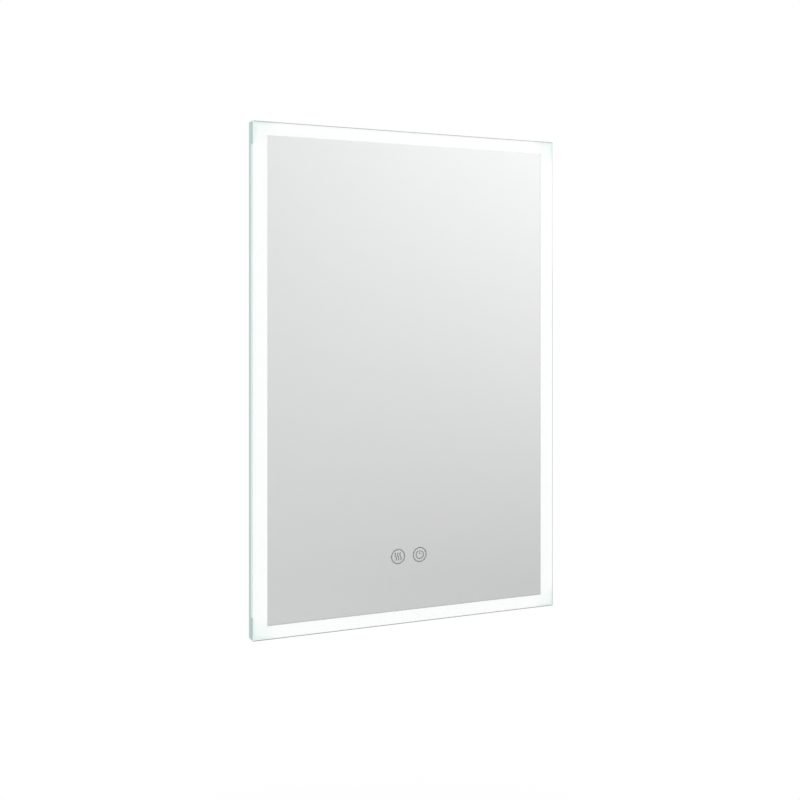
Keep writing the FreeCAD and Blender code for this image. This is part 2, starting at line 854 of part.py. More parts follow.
def make_driver_lid():
    a = driver_length / 2
    b = driver_width / 2
    y0 = driver_top_y()
    y1 = cover_front_y - base_thick
    shell = box(driver_x - a, driver_x + a, y0, y1, driver_z - b, driver_z + b)
    front = [e for e in shell.Edges if all(abs(v.Y - y0) < ONE_PLACE for v in e.Vertexes)]
    shell = shell.makeFillet(case_round, front)
    hollow = box(driver_x - a + case_wall, driver_x + a - case_wall, y0 + case_wall, y1,
                 driver_z - b + case_wall, driver_z + b - case_wall)
    shell = shell.cut(hollow)
    mains_port = vec(driver_x - a - collar_length, lead_y, driver_z + mains_port_rise)
    strip_port = vec(driver_x + a, lead_y, driver_z)
    sleeves = [collar(mains_port, vec(1, 0, 0), lead_radius), collar(strip_port, vec(1, 0, 0), lead_radius)]
    return joined([shell] + sleeves)


def make_driver_board():
    """Circuit board on the base's bosses, with its transformer, capacitors and choke."""
    a = driver_length / 2 - case_wall - board_margin
    b = driver_width / 2 - case_wall - board_margin
    y1 = cover_front_y - base_thick - boss_height
    y0 = y1 - board_thick
    top = driver_top_y() + case_wall + part_clearance
    half = transformer_width / 2
    pieces = [box(driver_x - a, driver_x + a, y0, y1, driver_z - b, driver_z + b),
              box(driver_x - half, driver_x + half, top, y0,
                  driver_z - transformer_length / 2, driver_z + transformer_length / 2)]
    first = a - capacitor_inset
    for x in (-first, capacitor_step - first, first - capacitor_step):
        pieces.append(rod(driver_x + x, driver_z + capacitor_rise, capacitor_radius, top, y0))
    pieces.append(rod(driver_x + a - choke_inset, driver_z, choke_radius, y0 - choke_height, y0))
    filter_x = driver_x - half - filter_gap
    pieces.append(box(filter_x - filter_width / 2, filter_x + filter_width / 2, y0 - filter_height, y0,
                      driver_z - filter_length / 2, driver_z + filter_length / 2))
    return joined(pieces)


def make_terminal_box():
    a = box_width / 2
    b = box_height / 2
    y0 = cover_front_y - box_depth
    tray = box(box_x - a, box_x + a, y0, cover_front_y, box_z - b, box_z + b)
    hollow = box(box_x - a + case_wall, box_x + a - case_wall, y0, cover_front_y - base_thick,
                 box_z - b + case_wall, box_z + b - case_wall)
    tray = tray.cut(hollow)
    right = vec(box_x + a, lead_y, box_z)
    below = vec(box_x, lead_y, box_z - b - collar_length)
    above = vec(box_x, lead_y, box_z + b)
    sleeves = [collar(right, vec(1, 0, 0), lead_radius), collar(below, vec(0, 0, 1), pad_lead_radius),
               collar(above, vec(0, 0, 1), cable_bore_radius)]
    holes = [rod(x, z, fix_radius + screw_clearance, cover_front_y - base_thick, cover_front_y)
             for x, z in fixing_spots()["box"]]
    holes.append(Part.makeCylinder(cable_bore_radius, case_wall + collar_length,
                                   above - vec(0, 0, case_wall), vec(0, 0, 1)))
    return joined([tray] + sleeves).cut(holes)


def make_terminal_lid():
    a = box_width / 2
    b = box_height / 2
    y1 = cover_front_y - box_depth
    lip = case_wall + key_clearance
    plate = box(box_x - a, box_x + a, y1 - case_wall, y1, box_z - b, box_z + b)
    front = [e for e in plate.Edges if all(abs(v.Y - y1 + case_wall) < ONE_PLACE for v in e.Vertexes)]
    plate = plate.makeFillet(lid_round, front)
    plug = box(box_x - a + lip, box_x + a - lip, y1, y1 + case_wall, box_z - b + lip, box_z + b - lip)
    core = box(box_x - a + lip + case_wall, box_x + a - lip - case_wall, y1, y1 + case_wall,
               box_z - b + lip + case_wall, box_z + b - lip - case_wall)
    return joined([plate, plug.cut(core)])


def pole_spots():
    spots = []
    for k in range(pole_count):
        x = box_x + (k - (pole_count - 1) / 2) * pole_pitch
        spots.append((x, box_z - pole_row))
        spots.append((x, box_z + pole_row))
    return spots


def block_front_y():
    return cover_front_y - base_thick - block_height


def make_terminal_block():
    y0 = block_front_y()
    y1 = cover_front_y - base_thick
    block = rounded_block(box_x, box_z, block_length, block_width, block_corner, y0, y1)
    cuts = [rod(x, z, pole_screw_radius + screw_clearance, y0, y0 + pole_screw_length)
            for x, z in pole_spots()]
    for k in range(pole_count - 1):
        x = box_x + (k - (pole_count - 2) / 2) * pole_pitch
        cuts.append(box(x - block_groove / 2, x + block_groove / 2, y0, y0 + block_height / 3,
                        box_z - block_width / 2, box_z + block_width / 2))
    return block.cut(cuts)


def make_terminal_screws():
    y0 = block_front_y()
    screws = []
    for x, z in pole_spots():
        body = rod(x, z, pole_screw_radius, y0 + pole_screw_sunk, y0 + pole_screw_length)
        slot = box(x - pole_screw_radius, x + pole_screw_radius, y0, y0 + pole_screw_sunk + slot_cut,
                   z - slot_cut / 2, z + slot_cut / 2)
        screws.append(body.cut(slot))
    return Part.makeCompound(screws)


def make_inner_screws():
    screws = []
    seat = cover_front_y - base_thick
    length = base_thick + cover_thick + fix_past_cover
    for spots in fixing_spots().values():
        for x, z in spots:
            screws.append(pan_screw(x, z, seat, fix_radius, fix_head_radius, fix_head, length, -1))
    return Part.makeCompound(screws)


# ---------------------------------------------------------------- sensors, pad, leads


def make_sensor(x, ports):
    """Touch module bonded behind an icon, with a sleeve at each side that has a lead."""
    body = rounded_block(x, icon_z, sensor_size, sensor_size, sensor_corner,
                         coat_back_y, coat_back_y + sensor_thick)
    reach = sensor_size / 2
    starts = {
        "right": vec(x + reach, sensor_y, icon_z),
        "left": vec(x - reach - collar_length, sensor_y, icon_z),
        "top": vec(x, sensor_y, icon_z + reach),
        "bottom": vec(x, sensor_y, icon_z - reach - collar_length),
    }
    pieces = [body]
    for side in ports:
        direction = vec(1, 0, 0) if side in ("left", "right") else vec(0, 0, 1)
        radius = sensor_thick / 2 - sleeve_step
        pieces.append(Part.makeCylinder(radius, collar_length, starts[side], direction))
    return joined(pieces)


def make_pad():
    """Heating foil bonded to the pane's back, with its terminal patch at the lower edge."""
    foil = rounded_block(0, pad_z, pad_width, pad_height, pad_corner, coat_back_y, coat_back_y + pad_thick)
    patch = box(demister_x - patch_width / 2, demister_x + patch_width / 2, coat_back_y,
                coat_back_y + patch_thick, pad_low, pad_low + patch_height)
    return joined([foil, patch])


def sensor_edge(x, sign):
    return x + sign * (sensor_size / 2 + collar_length)


def make_mains_lead():
    start_x = box_x + box_width / 2 + collar_length
    end_x = driver_x - driver_length / 2 - collar_length
    third = (end_x - start_x) / 3
    end_z = driver_z + mains_port_rise
    return lead("lead_mains", [(start_x, lead_y, box_z), (start_x + third, lead_y, box_z),
                               (end_x - third, lead_y, end_z), (end_x, lead_y, end_z)], lead_radius)


def clip_run_x():
    return driver_x + driver_length / 2 + collar_length + driver_lead_out


def make_driver_lead():
    start_x = driver_x + driver_length / 2 + collar_length
    down_x = clip_run_x()
    points = [(start_x, lead_y, driver_z), (start_x + port_run, lead_y, driver_z),
              (down_x, lead_y, driver_z - driver_lead_top),
              (down_x, lead_y, driver_z - driver_lead_foot),
              (down_x - driver_lead_turn, lead_slope_y, icon_z - driver_lead_dip),
              (down_x - driver_lead_level, sensor_y, icon_z),
              (sensor_edge(power_x, 1), sensor_y, icon_z)]
    return lead("lead_driver", points, lead_radius)


def make_strip_lead():
    start_z = icon_z - sensor_size / 2 - collar_length
    end_z = bottom_z + strip_middle + strip_width / 2
    points = [(power_x, sensor_y, start_z), (power_x, sensor_y, start_z - strip_lead_run),
              (power_x, plug_y, end_z + strip_lead_foot), (power_x, plug_y, end_z)]
    return lead("lead_strip", points, pad_lead_radius)


def make_demister_leads():
    start_z = box_z - box_height / 2 - collar_length
    sensor_x = sensor_edge(demister_x, -1)
    supply = [(box_x, lead_y, start_z), (box_x, lead_y, start_z - supply_drop),
              (sensor_x - supply_sweep, lead_slope_y, icon_z + supply_rise),
              (sensor_x - supply_level, sensor_y, icon_z), (sensor_x, sensor_y, icon_z)]
    rise_z = icon_z + sensor_size / 2 + collar_length
    sway_x = demister_x - climb_sway
    climb = [(demister_x, sensor_y, rise_z), (demister_x, sensor_y, rise_z + climb_run),
             (sway_x, patch_y, rise_z + climb_bend), (sway_x, patch_y, pad_low - climb_bend),
             (demister_x, patch_y, pad_low - climb_run), (demister_x, patch_y, pad_low)]
    return Part.makeCompound([lead("leads_demister", supply, pad_lead_radius),
                              lead("leads_demister", climb, pad_lead_radius)])


def make_clips():
    """Bonded saddles on the cover, round the leads' upright runs."""
    clips = []
    driver_clip_z = driver_z - (driver_lead_top + driver_lead_foot) / 2
    supply_clip_z = box_z - box_height / 2 - collar_length - supply_drop / 4
    for x, z, radius in ((clip_run_x(), driver_clip_z, lead_radius), (box_x, supply_clip_z, pad_lead_radius)):
        reach = radius + clip_clearance + clip_wall
        saddle = box(x - reach, x + reach, lead_y - reach, cover_front_y,
                     z - clip_length / 2, z + clip_length / 2)
        bore = Part.makeCylinder(radius + clip_clearance, clip_length,
                                 vec(x, lead_y, z - clip_length / 2), vec(0, 0, 1))
        clips.append(saddle.cut(bore))
    return Part.makeCompound(clips)


# ---------------------------------------------------------------- build


def main():
    os.makedirs("parts", exist_ok=True)
    icons = (make_demister_icon(), make_power_icon())
    save("glass_pane", make_pane())
    save("silvering", make_silvering(icons))
    save("icon_demister", icons[0])
    save("icon_power", icons[1])
    for side in SIDES:
        save("frost_" + side, make_frost(side))
        save("bond_tape_" + side, make_bond_tape(side))
        save("diffuser_" + side, make_diffuser(side))
        save("rail_" + side, make_rail(side))
        save("led_strip_" + side, make_strip(side))
    bumpers = bumper_spots()
    for corner in CORNERS:
        tail = corner[0] + "_" + corner[1]
        save("diffuser_corner_" + tail, make_diffuser_corner(corner))
        save("corner_key_" + tail, make_corner_key(corner))
        save("bumper_" + tail, make_bumper(bumpers[corner][0], bumpers[corner][1]))
    save("corner_key_screws", make_key_screws())
    save("strip_links", make_strip_links())
    save("rear_cover", make_cover())
    save("cover_screws", make_cover_screws())
    save("hanger_left", make_hanger("left"))
    save("hanger_right", make_hanger("right"))
    save("hanger_rivets", make_hanger_rivets())
    save("cable_grommet", make_grommet())
    save("driver_base", make_driver_base())
    save("driver_lid", make_driver_lid())
    save("driver_board", make_driver_board())
    save("terminal_box", make_terminal_box())
    save("terminal_lid", make_terminal_lid())
    save("terminal_block", make_terminal_block())
    save("terminal_screws", make_terminal_screws())
    save("inner_screws", make_inner_screws())
    save("sensor_demister", make_sensor(demister_x, ("left", "top")))
    save("sensor_power", make_sensor(power_x, ("right", "bottom")))
    save("demister_pad", make_pad())
    save("lead_mains", make_mains_lead())
    save("lead_driver", make_driver_lead())
    save("lead_strip", make_strip_lead())
    save("leads_demister", make_demister_leads())
    save("lead_clips", make_clips())


main()
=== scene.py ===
# %% [markdown]
# # A lighted bathroom mirror
# The real object is a frameless pane of silvered glass that hangs on a wall. Its rim is
# frosted and lit from behind by strips of small lamps, and the same light shows at the
# narrow side, where an opal profile and an aluminium rail carry the glass.
#
# The construction is already there as a fixed frame of named pieces in metres. This lesson
# only dresses it: it gives every piece a finish made of shader nodes, and models again, in
# finer form, the pieces whose edges catch the light. Nothing is moved or resized.

# %% Load the frame
import json
import math

import bmesh
import bpy
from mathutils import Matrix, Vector


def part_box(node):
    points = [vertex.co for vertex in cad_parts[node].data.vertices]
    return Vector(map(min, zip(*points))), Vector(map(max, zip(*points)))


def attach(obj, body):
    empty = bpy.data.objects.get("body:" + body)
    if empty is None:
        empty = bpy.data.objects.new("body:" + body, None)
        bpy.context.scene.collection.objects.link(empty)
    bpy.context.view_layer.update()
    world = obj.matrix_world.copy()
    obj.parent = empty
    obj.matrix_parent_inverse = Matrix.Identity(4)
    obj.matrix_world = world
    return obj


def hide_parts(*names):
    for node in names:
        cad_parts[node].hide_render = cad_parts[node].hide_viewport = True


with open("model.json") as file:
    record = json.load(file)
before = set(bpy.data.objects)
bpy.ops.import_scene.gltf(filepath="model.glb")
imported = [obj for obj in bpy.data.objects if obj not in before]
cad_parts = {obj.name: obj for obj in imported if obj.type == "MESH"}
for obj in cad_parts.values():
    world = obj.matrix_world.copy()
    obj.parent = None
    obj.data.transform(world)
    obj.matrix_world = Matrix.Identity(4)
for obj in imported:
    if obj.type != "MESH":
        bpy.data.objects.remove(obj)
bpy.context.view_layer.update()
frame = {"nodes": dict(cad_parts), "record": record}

nodes = frame["nodes"]

# %% [markdown]
# ## Sizes from the frame
# Millimetres are easier to think in than metres for glass and screws, so lengths below are
# written as a number times `MM`. Places come from the boxes of the frame's own pieces, so
# that the dressed pieces sit exactly where the construction has them.

# %% Sizes that the whole lesson uses
MM = 0.001
SIDES = ("left", "right", "top", "bottom")
CORNERS = ("top_left", "top_right", "bottom_left", "bottom_right")

pane_low, pane_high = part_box("glass_pane")
silver_low, silver_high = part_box("silvering")
pane_middle_z = (pane_low.z + pane_high.z) / 2
half_width = (pane_high.x - pane_low.x) / 2
half_height = (pane_high.z - pane_low.z) / 2
print("pane", round(2 * half_width, 3), "by", round(2 * half_height, 3), "m")

# %% [markdown]
# ## The camera
# The photograph looks at the mirror from the left and a little above its middle. The
# verticals stay parallel, so the camera looks level and its frame is shifted down instead
# of tilted. Place, turn and lens come from solving the pane's four corners for them.

# %% Camera
CAMERA_FROM_MIDDLE = Vector((-0.8156, -1.8604, 0.1110))
CAMERA_TURN = math.radians(23.387)
CAMERA_LENS = 49.185
CAMERA_SHIFT = -0.1041

camera_data = bpy.data.cameras.new("camera")
camera_data.sensor_width = 36
camera_data.lens = CAMERA_LENS
camera_data.shift_y = CAMERA_SHIFT
camera = bpy.data.objects.new("camera", camera_data)
camera.location = Vector((0, 0, pane_middle_z)) + CAMERA_FROM_MIDDLE
camera.rotation_euler = (math.radians(90), 0, -CAMERA_TURN)
bpy.context.scene.collection.objects.link(camera)
bpy.context.scene.camera = camera
bpy.context.scene.view_settings.view_transform = "Standard"
print("camera at", tuple(round(c, 3) for c in camera.location))

# %% [markdown]
# ## Writing shaders as sums
# A finish is a small graph of nodes. Wiring each node by hand hides the idea, so one class
# wraps a socket and turns `+`, `-`, `*` and `/` into Math nodes, and another makes any node
# from its type, its settings and the values or links of its sockets.

# %% Sockets with arithmetic


class Socket:
    """One output of a node, with arithmetic that adds Math nodes."""

    def __init__(self, tree, link):
        self.tree = tree
        self.link = link

    def maths(self, operation, first, second=0.0):
        return self.tree.node("ShaderNodeMath", {"operation": operation}, [first, second])

    def __add__(self, other):
        return self.maths("ADD", self, other)

    def __sub__(self, other):
        return self.maths("SUBTRACT", self, other)

    def __rsub__(self, other):
        return self.maths("SUBTRACT", other, self)

    def __mul__(self, other):
        return self.maths("MULTIPLY", self, other)

    def __truediv__(self, other):
        return self.maths("DIVIDE", self, other)

    def __abs__(self):
        return self.maths("ABSOLUTE", self)

    __radd__ = __add__
    __rmul__ = __mul__

    def larger(self, other):
        return self.maths("MAXIMUM", self, other)

    def smaller(self, other):
        return self.maths("MINIMUM", self, other)

    def above(self, other):
        return self.maths("GREATER_THAN", self, other)

    def step(self, start, end, low=0.0, high=1.0):
        """Smooth step from low to high while this value goes from start to end."""
        return self.tree.node("ShaderNodeMapRange", {"interpolation_type": "SMOOTHSTEP"},
                              [self, start, end, low, high])

    def reach(self, other):
        """Distance from the middle to the point whose two coordinates are these values."""
        return self.maths("SQRT", self * self + other * other)

    def zigzag(self, turn):
        """Value that runs from 0 up to turn and back, over and over."""
        return self.maths("PINGPONG", self, turn)


print("sockets ready")

# %% Trees of nodes


class Tree:
    """The node tree of a material or of the world."""

    def __init__(self, owner):
        owner.use_nodes = True
        self.tree = owner.node_tree
        self.tree.nodes.clear()

    def node(self, kind, settings=None, sockets=(), out=0):
        """Make a node: its settings are set first, then each socket gets a value or a link."""
        made = self.tree.nodes.new(kind)
        for name, value in (settings or {}).items():
            setattr(made, name, value)
        pairs = sockets.items() if isinstance(sockets, dict) else enumerate(sockets)
        for key, value in pairs:
            if isinstance(value, Socket):
                self.tree.links.new(value.link, made.inputs[key])
            else:
                made.inputs[key].default_value = value
        return Socket(self, made.outputs[out]) if made.outputs else None

    def place(self, kind="Object"):
        """Object coordinates, which are the frame's own metres, or another kind."""
        return self.node("ShaderNodeTexCoord", out=kind)

    def split(self, vector):
        """X, Y and Z of a vector."""
        x = self.node("ShaderNodeSeparateXYZ", None, [vector], "X")
        outputs = x.link.node.outputs
        return x, Socket(self, outputs["Y"]), Socket(self, outputs["Z"])

    def noise(self, scale, detail=3.0, stretch=(1, 1, 1)):
        """Noise in object space, its pattern drawn out where stretch is small."""
        spot = self.node("ShaderNodeMapping", None, {"Vector": self.place(), "Scale": stretch})
        return self.node("ShaderNodeTexNoise", None, {"Vector": spot, "Scale": scale, "Detail": detail})

    def blend(self, factor, first, second):
        """Mix of two colours, each a triple or a socket."""
        ends = [end if isinstance(end, Socket) else (*end, 1) for end in (first, second)]
        return self.node("ShaderNodeMix", {"data_type": "RGBA"}, {0: factor, 6: ends[0], 7: ends[1]}, 2)

    def bump(self, height, distance):
        return self.node("ShaderNodeBump", None, {"Height": height, "Distance": distance})

    def surface(self, **sockets):
        """The main shader, with its sockets named here with underscores for spaces."""
        named = {}
        for key, value in sockets.items():
            named[key.replace("_", " ")] = (*value, 1) if isinstance(value, tuple) else value
        return self.node("ShaderNodeBsdfPrincipled", None, named)

    def output(self, shader, kind="Material"):
        self.node("ShaderNodeOutput" + kind, None, {"Surface": shader})


finishes = {}


def new_finish(name):
    finishes[name] = bpy.data.materials.new(name)
    return Tree(finishes[name])


print("trees ready")

# %% [markdown]
# ## A studio for a mirror
# A mirror shows the room in front of it, so the room is part of its finish. Here the room is
# the world: the camera sees it as plain white, while rays that come off the silver see a
# soft grey field that gets lighter towards the top right, as the photograph shows, and is
# plain grey again overhead, so that the metal on top doesn't burn out. What falls on matt
# surfaces is an even grey too, so that colours render about as they are written.

# %% World
ROOM_LEVEL = 0.58
EAST_RANGE = (0.15, 0.52)
UP_RANGE = (-0.235, 0.16)
FIELD_LEVEL = 0.664
BY_EAST = 0.370
BY_UP = -0.176
BY_BOTH = 2.39
OVERHEAD = (0.30, 0.60)
OVERHEAD_LEVEL = 0.62

world = bpy.data.worlds.new("studio")
bpy.context.scene.world = world
sky = Tree(world)
direction_x, _, direction_z = sky.split(sky.place("Generated"))
east = direction_x.larger(EAST_RANGE[0]).smaller(EAST_RANGE[1])
up = direction_z.larger(UP_RANGE[0]).smaller(UP_RANGE[1])
field = FIELD_LEVEL + east * BY_EAST + up * BY_UP + east * up * BY_BOTH
field = field + direction_z.step(*OVERHEAD) * (OVERHEAD_LEVEL - field)
seen = sky.node("ShaderNodeLightPath", out="Is Camera Ray")
path = seen.link.node.outputs
mirrored = Socket(sky, path["Is Glossy Ray"]).larger(Socket(sky, path["Is Transmission Ray"]))
level = mirrored * (field - ROOM_LEVEL) + ROOM_LEVEL
colour = sky.blend(seen, sky.node("ShaderNodeCombineXYZ", None, [level, level, level]), (1, 1, 1))
sky.output(sky.node("ShaderNodeBackground", None, {"Color": colour}), "World")
print("world: plain white to the camera, soft grey field in the mirror")

# %% [markdown]
# ## Floor and lights
# The floor lies a metre below the mirror. The camera sees it as white paper, and near the
# object part of it stays an ordinary matt surface, which keeps the shadow. It doesn't show
# in the glass. Three large soft lamps give the edges some shape. The front ones are hidden
# from glossy rays, because a mirror would show them as rectangles.

# %% Floor
FLOOR_DROP = 1.0
FLOOR_SIZE = 14.0
SHADOW_SHARE = 0.25
SHADOW_FADE = (0.7, 1.9)

floor_mesh = bpy.data.meshes.new("floor")
shaper = bmesh.new()
bmesh.ops.create_grid(shaper, x_segments=1, y_segments=1, size=FLOOR_SIZE / 2)
shaper.to_mesh(floor_mesh)
shaper.free()
floor = bpy.data.objects.new("floor", floor_mesh)
floor.location.z = pane_low.z - FLOOR_DROP
floor.visible_glossy = False
floor.visible_transmission = False
bpy.context.scene.collection.objects.link(floor)

paper = new_finish("floor_paper")
across, along, _ = paper.split(paper.place())
open_floor = across.reach(along).step(*SHADOW_FADE)
grain = paper.noise(40.0)
matt = paper.surface(Base_Color=paper.blend(grain, (0.90, 0.90, 0.90), (0.94, 0.94, 0.94)), Roughness=0.9)
glow = paper.node("ShaderNodeEmission", None, {"Color": (1, 1, 1, 1), "Strength": 1.0})
camera_ray = paper.node("ShaderNodeLightPath", out="Is Camera Ray")
share = camera_ray * (1 - SHADOW_SHARE + open_floor * SHADOW_SHARE)
paper.output(paper.node("ShaderNodeMixShader", None, [share, matt, glow]))
floor_mesh.materials.append(finishes["floor_paper"])
print("floor at z", round(floor.location.z, 3))

# %% Lamps


def lamp(name, place, aim, size, watts, shows):
    """Square soft lamp that looks at a point. shows: whether glossy surfaces see it."""
    data = bpy.data.lights.new(name, "AREA")
    data.size = size
    data.energy = watts
    made = bpy.data.objects.new(name, data)
    made.location = place
    made.rotation_euler = (Vector(aim) - Vector(place)).to_track_quat("-Z", "Y").to_euler()
    made.visible_glossy = shows
    made.visible_transmission = shows
    made.visible_camera = False
    bpy.context.scene.collection.objects.link(made)
    print("lamp", name, watts, "W")


AIM = (0, 0, pane_middle_z)
lamp("front_left", (-2.4, -1.8, 0.9), AIM, size=1.6, watts=30, shows=False)
lamp("front_right", (2.6, -1.6, 0.6), AIM, size=1.6, watts=22, shows=False)
lamp("behind", (1.7, 1.7, 1.3), AIM, size=3.2, watts=28, shows=True)

# %% [markdown]
# ## Outlines and rings
# Most pieces here are plates with rounded edges and holes. An outline is a function that
# returns its points, grown outwards by some amount, always with the same number of points.
# Two rings of one outline, grown differently and at different depths, can then be bridged
# with quads. That makes a rounded edge where a boolean would leave broken triangles.

# %% Outlines
LEAST_CORNER = 0.03 * MM


def rounded(x, z, width, height, corner, steps=4):
    """Rectangle with round corners, which stay open when it shrinks by more than their radius."""
    def points(grow):
        radius = max(corner + grow, LEAST_CORNER)
        reach_x = width / 2 + grow - radius
        reach_z = height / 2 + grow - radius
        ring = []
        for quarter, (sx, sz) in enumerate(((1, 1), (-1, 1), (-1, -1), (1, -1))):
            for k in range(steps + 1):
                angle = math.radians(90 * (quarter + k / steps))
                ring.append((x + sx * reach_x + radius * math.cos(angle),
                             z + sz * reach_z + radius * math.sin(angle)))
        return ring
    return points


def circle(x, z, radius, steps=32):
    """Circle of straight steps."""
    def points(grow):
        turns = [2 * math.pi * k / steps for k in range(steps)]
        return [(x + (radius + grow) * math.cos(t), z + (radius + grow) * math.sin(t)) for t in turns]
    return points


def keyhole(x, z, radius, half_slot, rise, steps=24):
    """Round hole with a narrow slot above it, its end half a circle."""
    def points(grow):
        big = radius + grow
        small = half_slot + grow
        join = math.asin(small / big)
        ring = []
        for k in range(steps + 1):
            angle = math.radians(90) + join + (2 * math.pi - 2 * join) * k / steps
            ring.append((x + big * math.cos(angle), z + big * math.sin(angle)))
        for k in range(steps // 2 + 1):
            angle = math.pi * k / (steps // 2)
            ring.append((x + small * math.cos(angle), z + rise + small * math.sin(angle)))
        return ring
    return points


print("outlines ready")

# %% [markdown]
# ## A builder for pieces
# The builder holds one mesh. `wall` bridges the rings of an outline along a profile, and
# `cap` closes a plane with all its holes. The rounded edges are shaded smooth. Weighted
# normals with a strength for each face keep the flats beside them perfectly flat: without
# it, light would streak across their long triangles.

# %% Builder
SHARP = math.radians(50)
SAME_PLACE = 0.002 * MM
FACE_STRENGTH = "__mod_weightednormals_faceweight"
STRONG = 16384


class Builder:
    """Collects rings, walls and caps, and turns them into one piece of the object."""

    def __init__(self):
        self.mesh = bmesh.new()
        self.strength = self.mesh.faces.layers.int.new(FACE_STRENGTH)

    def ring(self, points, y):
        """Closed loop of edges at one depth. Returns its corners in order."""
        corners = [self.mesh.verts.new((x, y, z)) for x, z in points]
        for pair in zip(corners, corners[1:] + corners[:1]):
            self.mesh.edges.new(pair)
        return corners

    def loop(self, ring):
        """Edges of a ring."""
        return [self.mesh.edges.get(pair) for pair in zip(ring, ring[1:] + ring[:1])]

    def paint(self, made, index, strength=0):
        """Give the faces among some new geometry a material by its number, and a strength."""
        for part in made:
            if isinstance(part, bmesh.types.BMFace):
                part.material_index = index
                part[self.strength] = strength

    def bridge(self, first, second, index=0):
        """Quads between two rings of as many points, at different depths."""
        made = bmesh.ops.bridge_loops(self.mesh, edges=self.loop(first) + self.loop(second))
        self.paint(made["faces"], index)

    def wall(self, outline, profile, index=0):
        """Rings of one outline along a profile of (grow, y). Returns the first and last."""
        rings = [self.ring(outline(grow), y) for grow, y in profile]
        for first, second in zip(rings, rings[1:]):
            self.bridge(first, second, index)
        return rings[0], rings[-1]

    def cap(self, rings, index=0):
        """Fill a plane bounded by an outer ring and the rings of its holes."""
        edges = [edge for ring in rings for edge in self.loop(ring)]
        made = bmesh.ops.triangle_fill(self.mesh, use_beauty=True, edges=edges)
        self.paint(made["geom"], index, STRONG)

    def turn(self, x, z, profile, steps=32):
        """Spin a profile of (radius, y) once round an axis along Y, and close its two ends."""
        line = [self.mesh.verts.new((x + radius, y, z)) for radius, y in profile]
        edges = [self.mesh.edges.new(pair) for pair in zip(line, line[1:])]
        bmesh.ops.spin(self.mesh, geom=line + edges, cent=(x, 0, z), axis=(0, 1, 0),
                       angle=2 * math.pi, steps=steps, use_merge=True)
        bmesh.ops.remove_doubles(self.mesh, verts=self.mesh.verts, dist=SAME_PLACE)
        bmesh.ops.holes_fill(self.mesh, edges=self.mesh.edges, sides=0)

    def finish(self, name, materials, slot, replaced, smooth=True):
        """Make the object, put it on the frame and hide the pieces that it stands for."""
        bmesh.ops.recalc_face_normals(self.mesh, faces=self.mesh.faces)
        data = bpy.data.meshes.new(name)
        self.mesh.to_mesh(data)
        self.mesh.free()
        for material in materials:
            data.materials.append(finishes[material])
        piece = bpy.data.objects.new(name, data)
        bpy.context.scene.collection.objects.link(piece)
        if smooth:
            data.polygons.foreach_set("use_smooth", [True] * len(data.polygons))
            data.set_sharp_from_angle(angle=SHARP)
            weighted = piece.modifiers.new("flat_faces", "WEIGHTED_NORMAL")
            weighted.keep_sharp = True
            weighted.use_face_influence = True
        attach(piece, "root")
        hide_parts(*replaced)
        print(name, len(data.polygons), "faces")


print("builder ready")

# %% Rounded edges


def soft_edge(radius, y, inward, side=1, steps=3):
    """Profile of a rounded edge from the flat at depth y to the wall. inward is +Y or -Y."""
    points = []
    for k in range(steps + 1):
        angle = math.radians(90 * k / steps)
        points.append((side * radius * (math.sin(angle) - 1), y + inward * radius * (1 - math.cos(angle))))
    return points


def rim(radius, back, front, side=1):
    """Profile of a plate's edge, rounded at both faces. side is -1 for a hole."""
    return soft_edge(radius, back, -1, side) + soft_edge(radius, front, 1, side)[::-1]


def plate(builder, outer, holes, back, front, radius):
    """Rims of a plate between two depths and of its holes. Returns its rear and front rings."""
    back_rings = []
    front_rings = []
    for outline, side in [(outer, 1)] + [(hole, -1) for hole in holes]:
        first, last = builder.wall(outline, rim(radius, back, front, side))
        back_rings.append(first)
        front_rings.append(last)
    return back_rings, front_rings


print("rounded edges ready")

# %% [markdown]
# ## Glass
# Float glass is clear from the front and green at its edge, because there the light has
# crossed much more of it. The edge is ground and polished to an arris on both sides. The
# strips behind also light the edge, except near the corners, where no strip reaches. Shade
# is painted into the arris: darker along the bottom and down the right side, and its glow is
# painted brighter on the left and fainter on top.
#
# A clear pane could be left out, since the silver lies behind it. It stays, because its
# front face gives the second, fainter reflection and the small step at the rim. Light in a
# glass edge takes many bounces to trace, so the edge is an opaque finish with a faint glow.

# %% Finishes of the glass
UNLIT_END = 40 * MM
LIGHT_BLUR = 1.5 * MM


def edge_distances(tree):
    """How far a point lies inside the pane's upright edges, and inside its level ones."""
    x, _, z = tree.split(tree.place())
    return half_width - abs(x), half_height - abs(z - pane_middle_z)


def lit_length(tree):
    """1 along the sides where a strip shines behind, 0 at the unlit corner pieces."""
    to_side, to_end = edge_distances(tree)
    return to_side.larger(to_end).step(UNLIT_END - LIGHT_BLUR, UNLIT_END + LIGHT_BLUR)


glass = new_finish("float_glass")
drift = glass.noise(3.0)
glass.output(glass.surface(
    Base_Color=glass.blend(drift, (0.985, 0.997, 0.993), (0.990, 0.998, 0.996)),
    Roughness=0.0, IOR=1.52, Transmission_Weight=1.0))

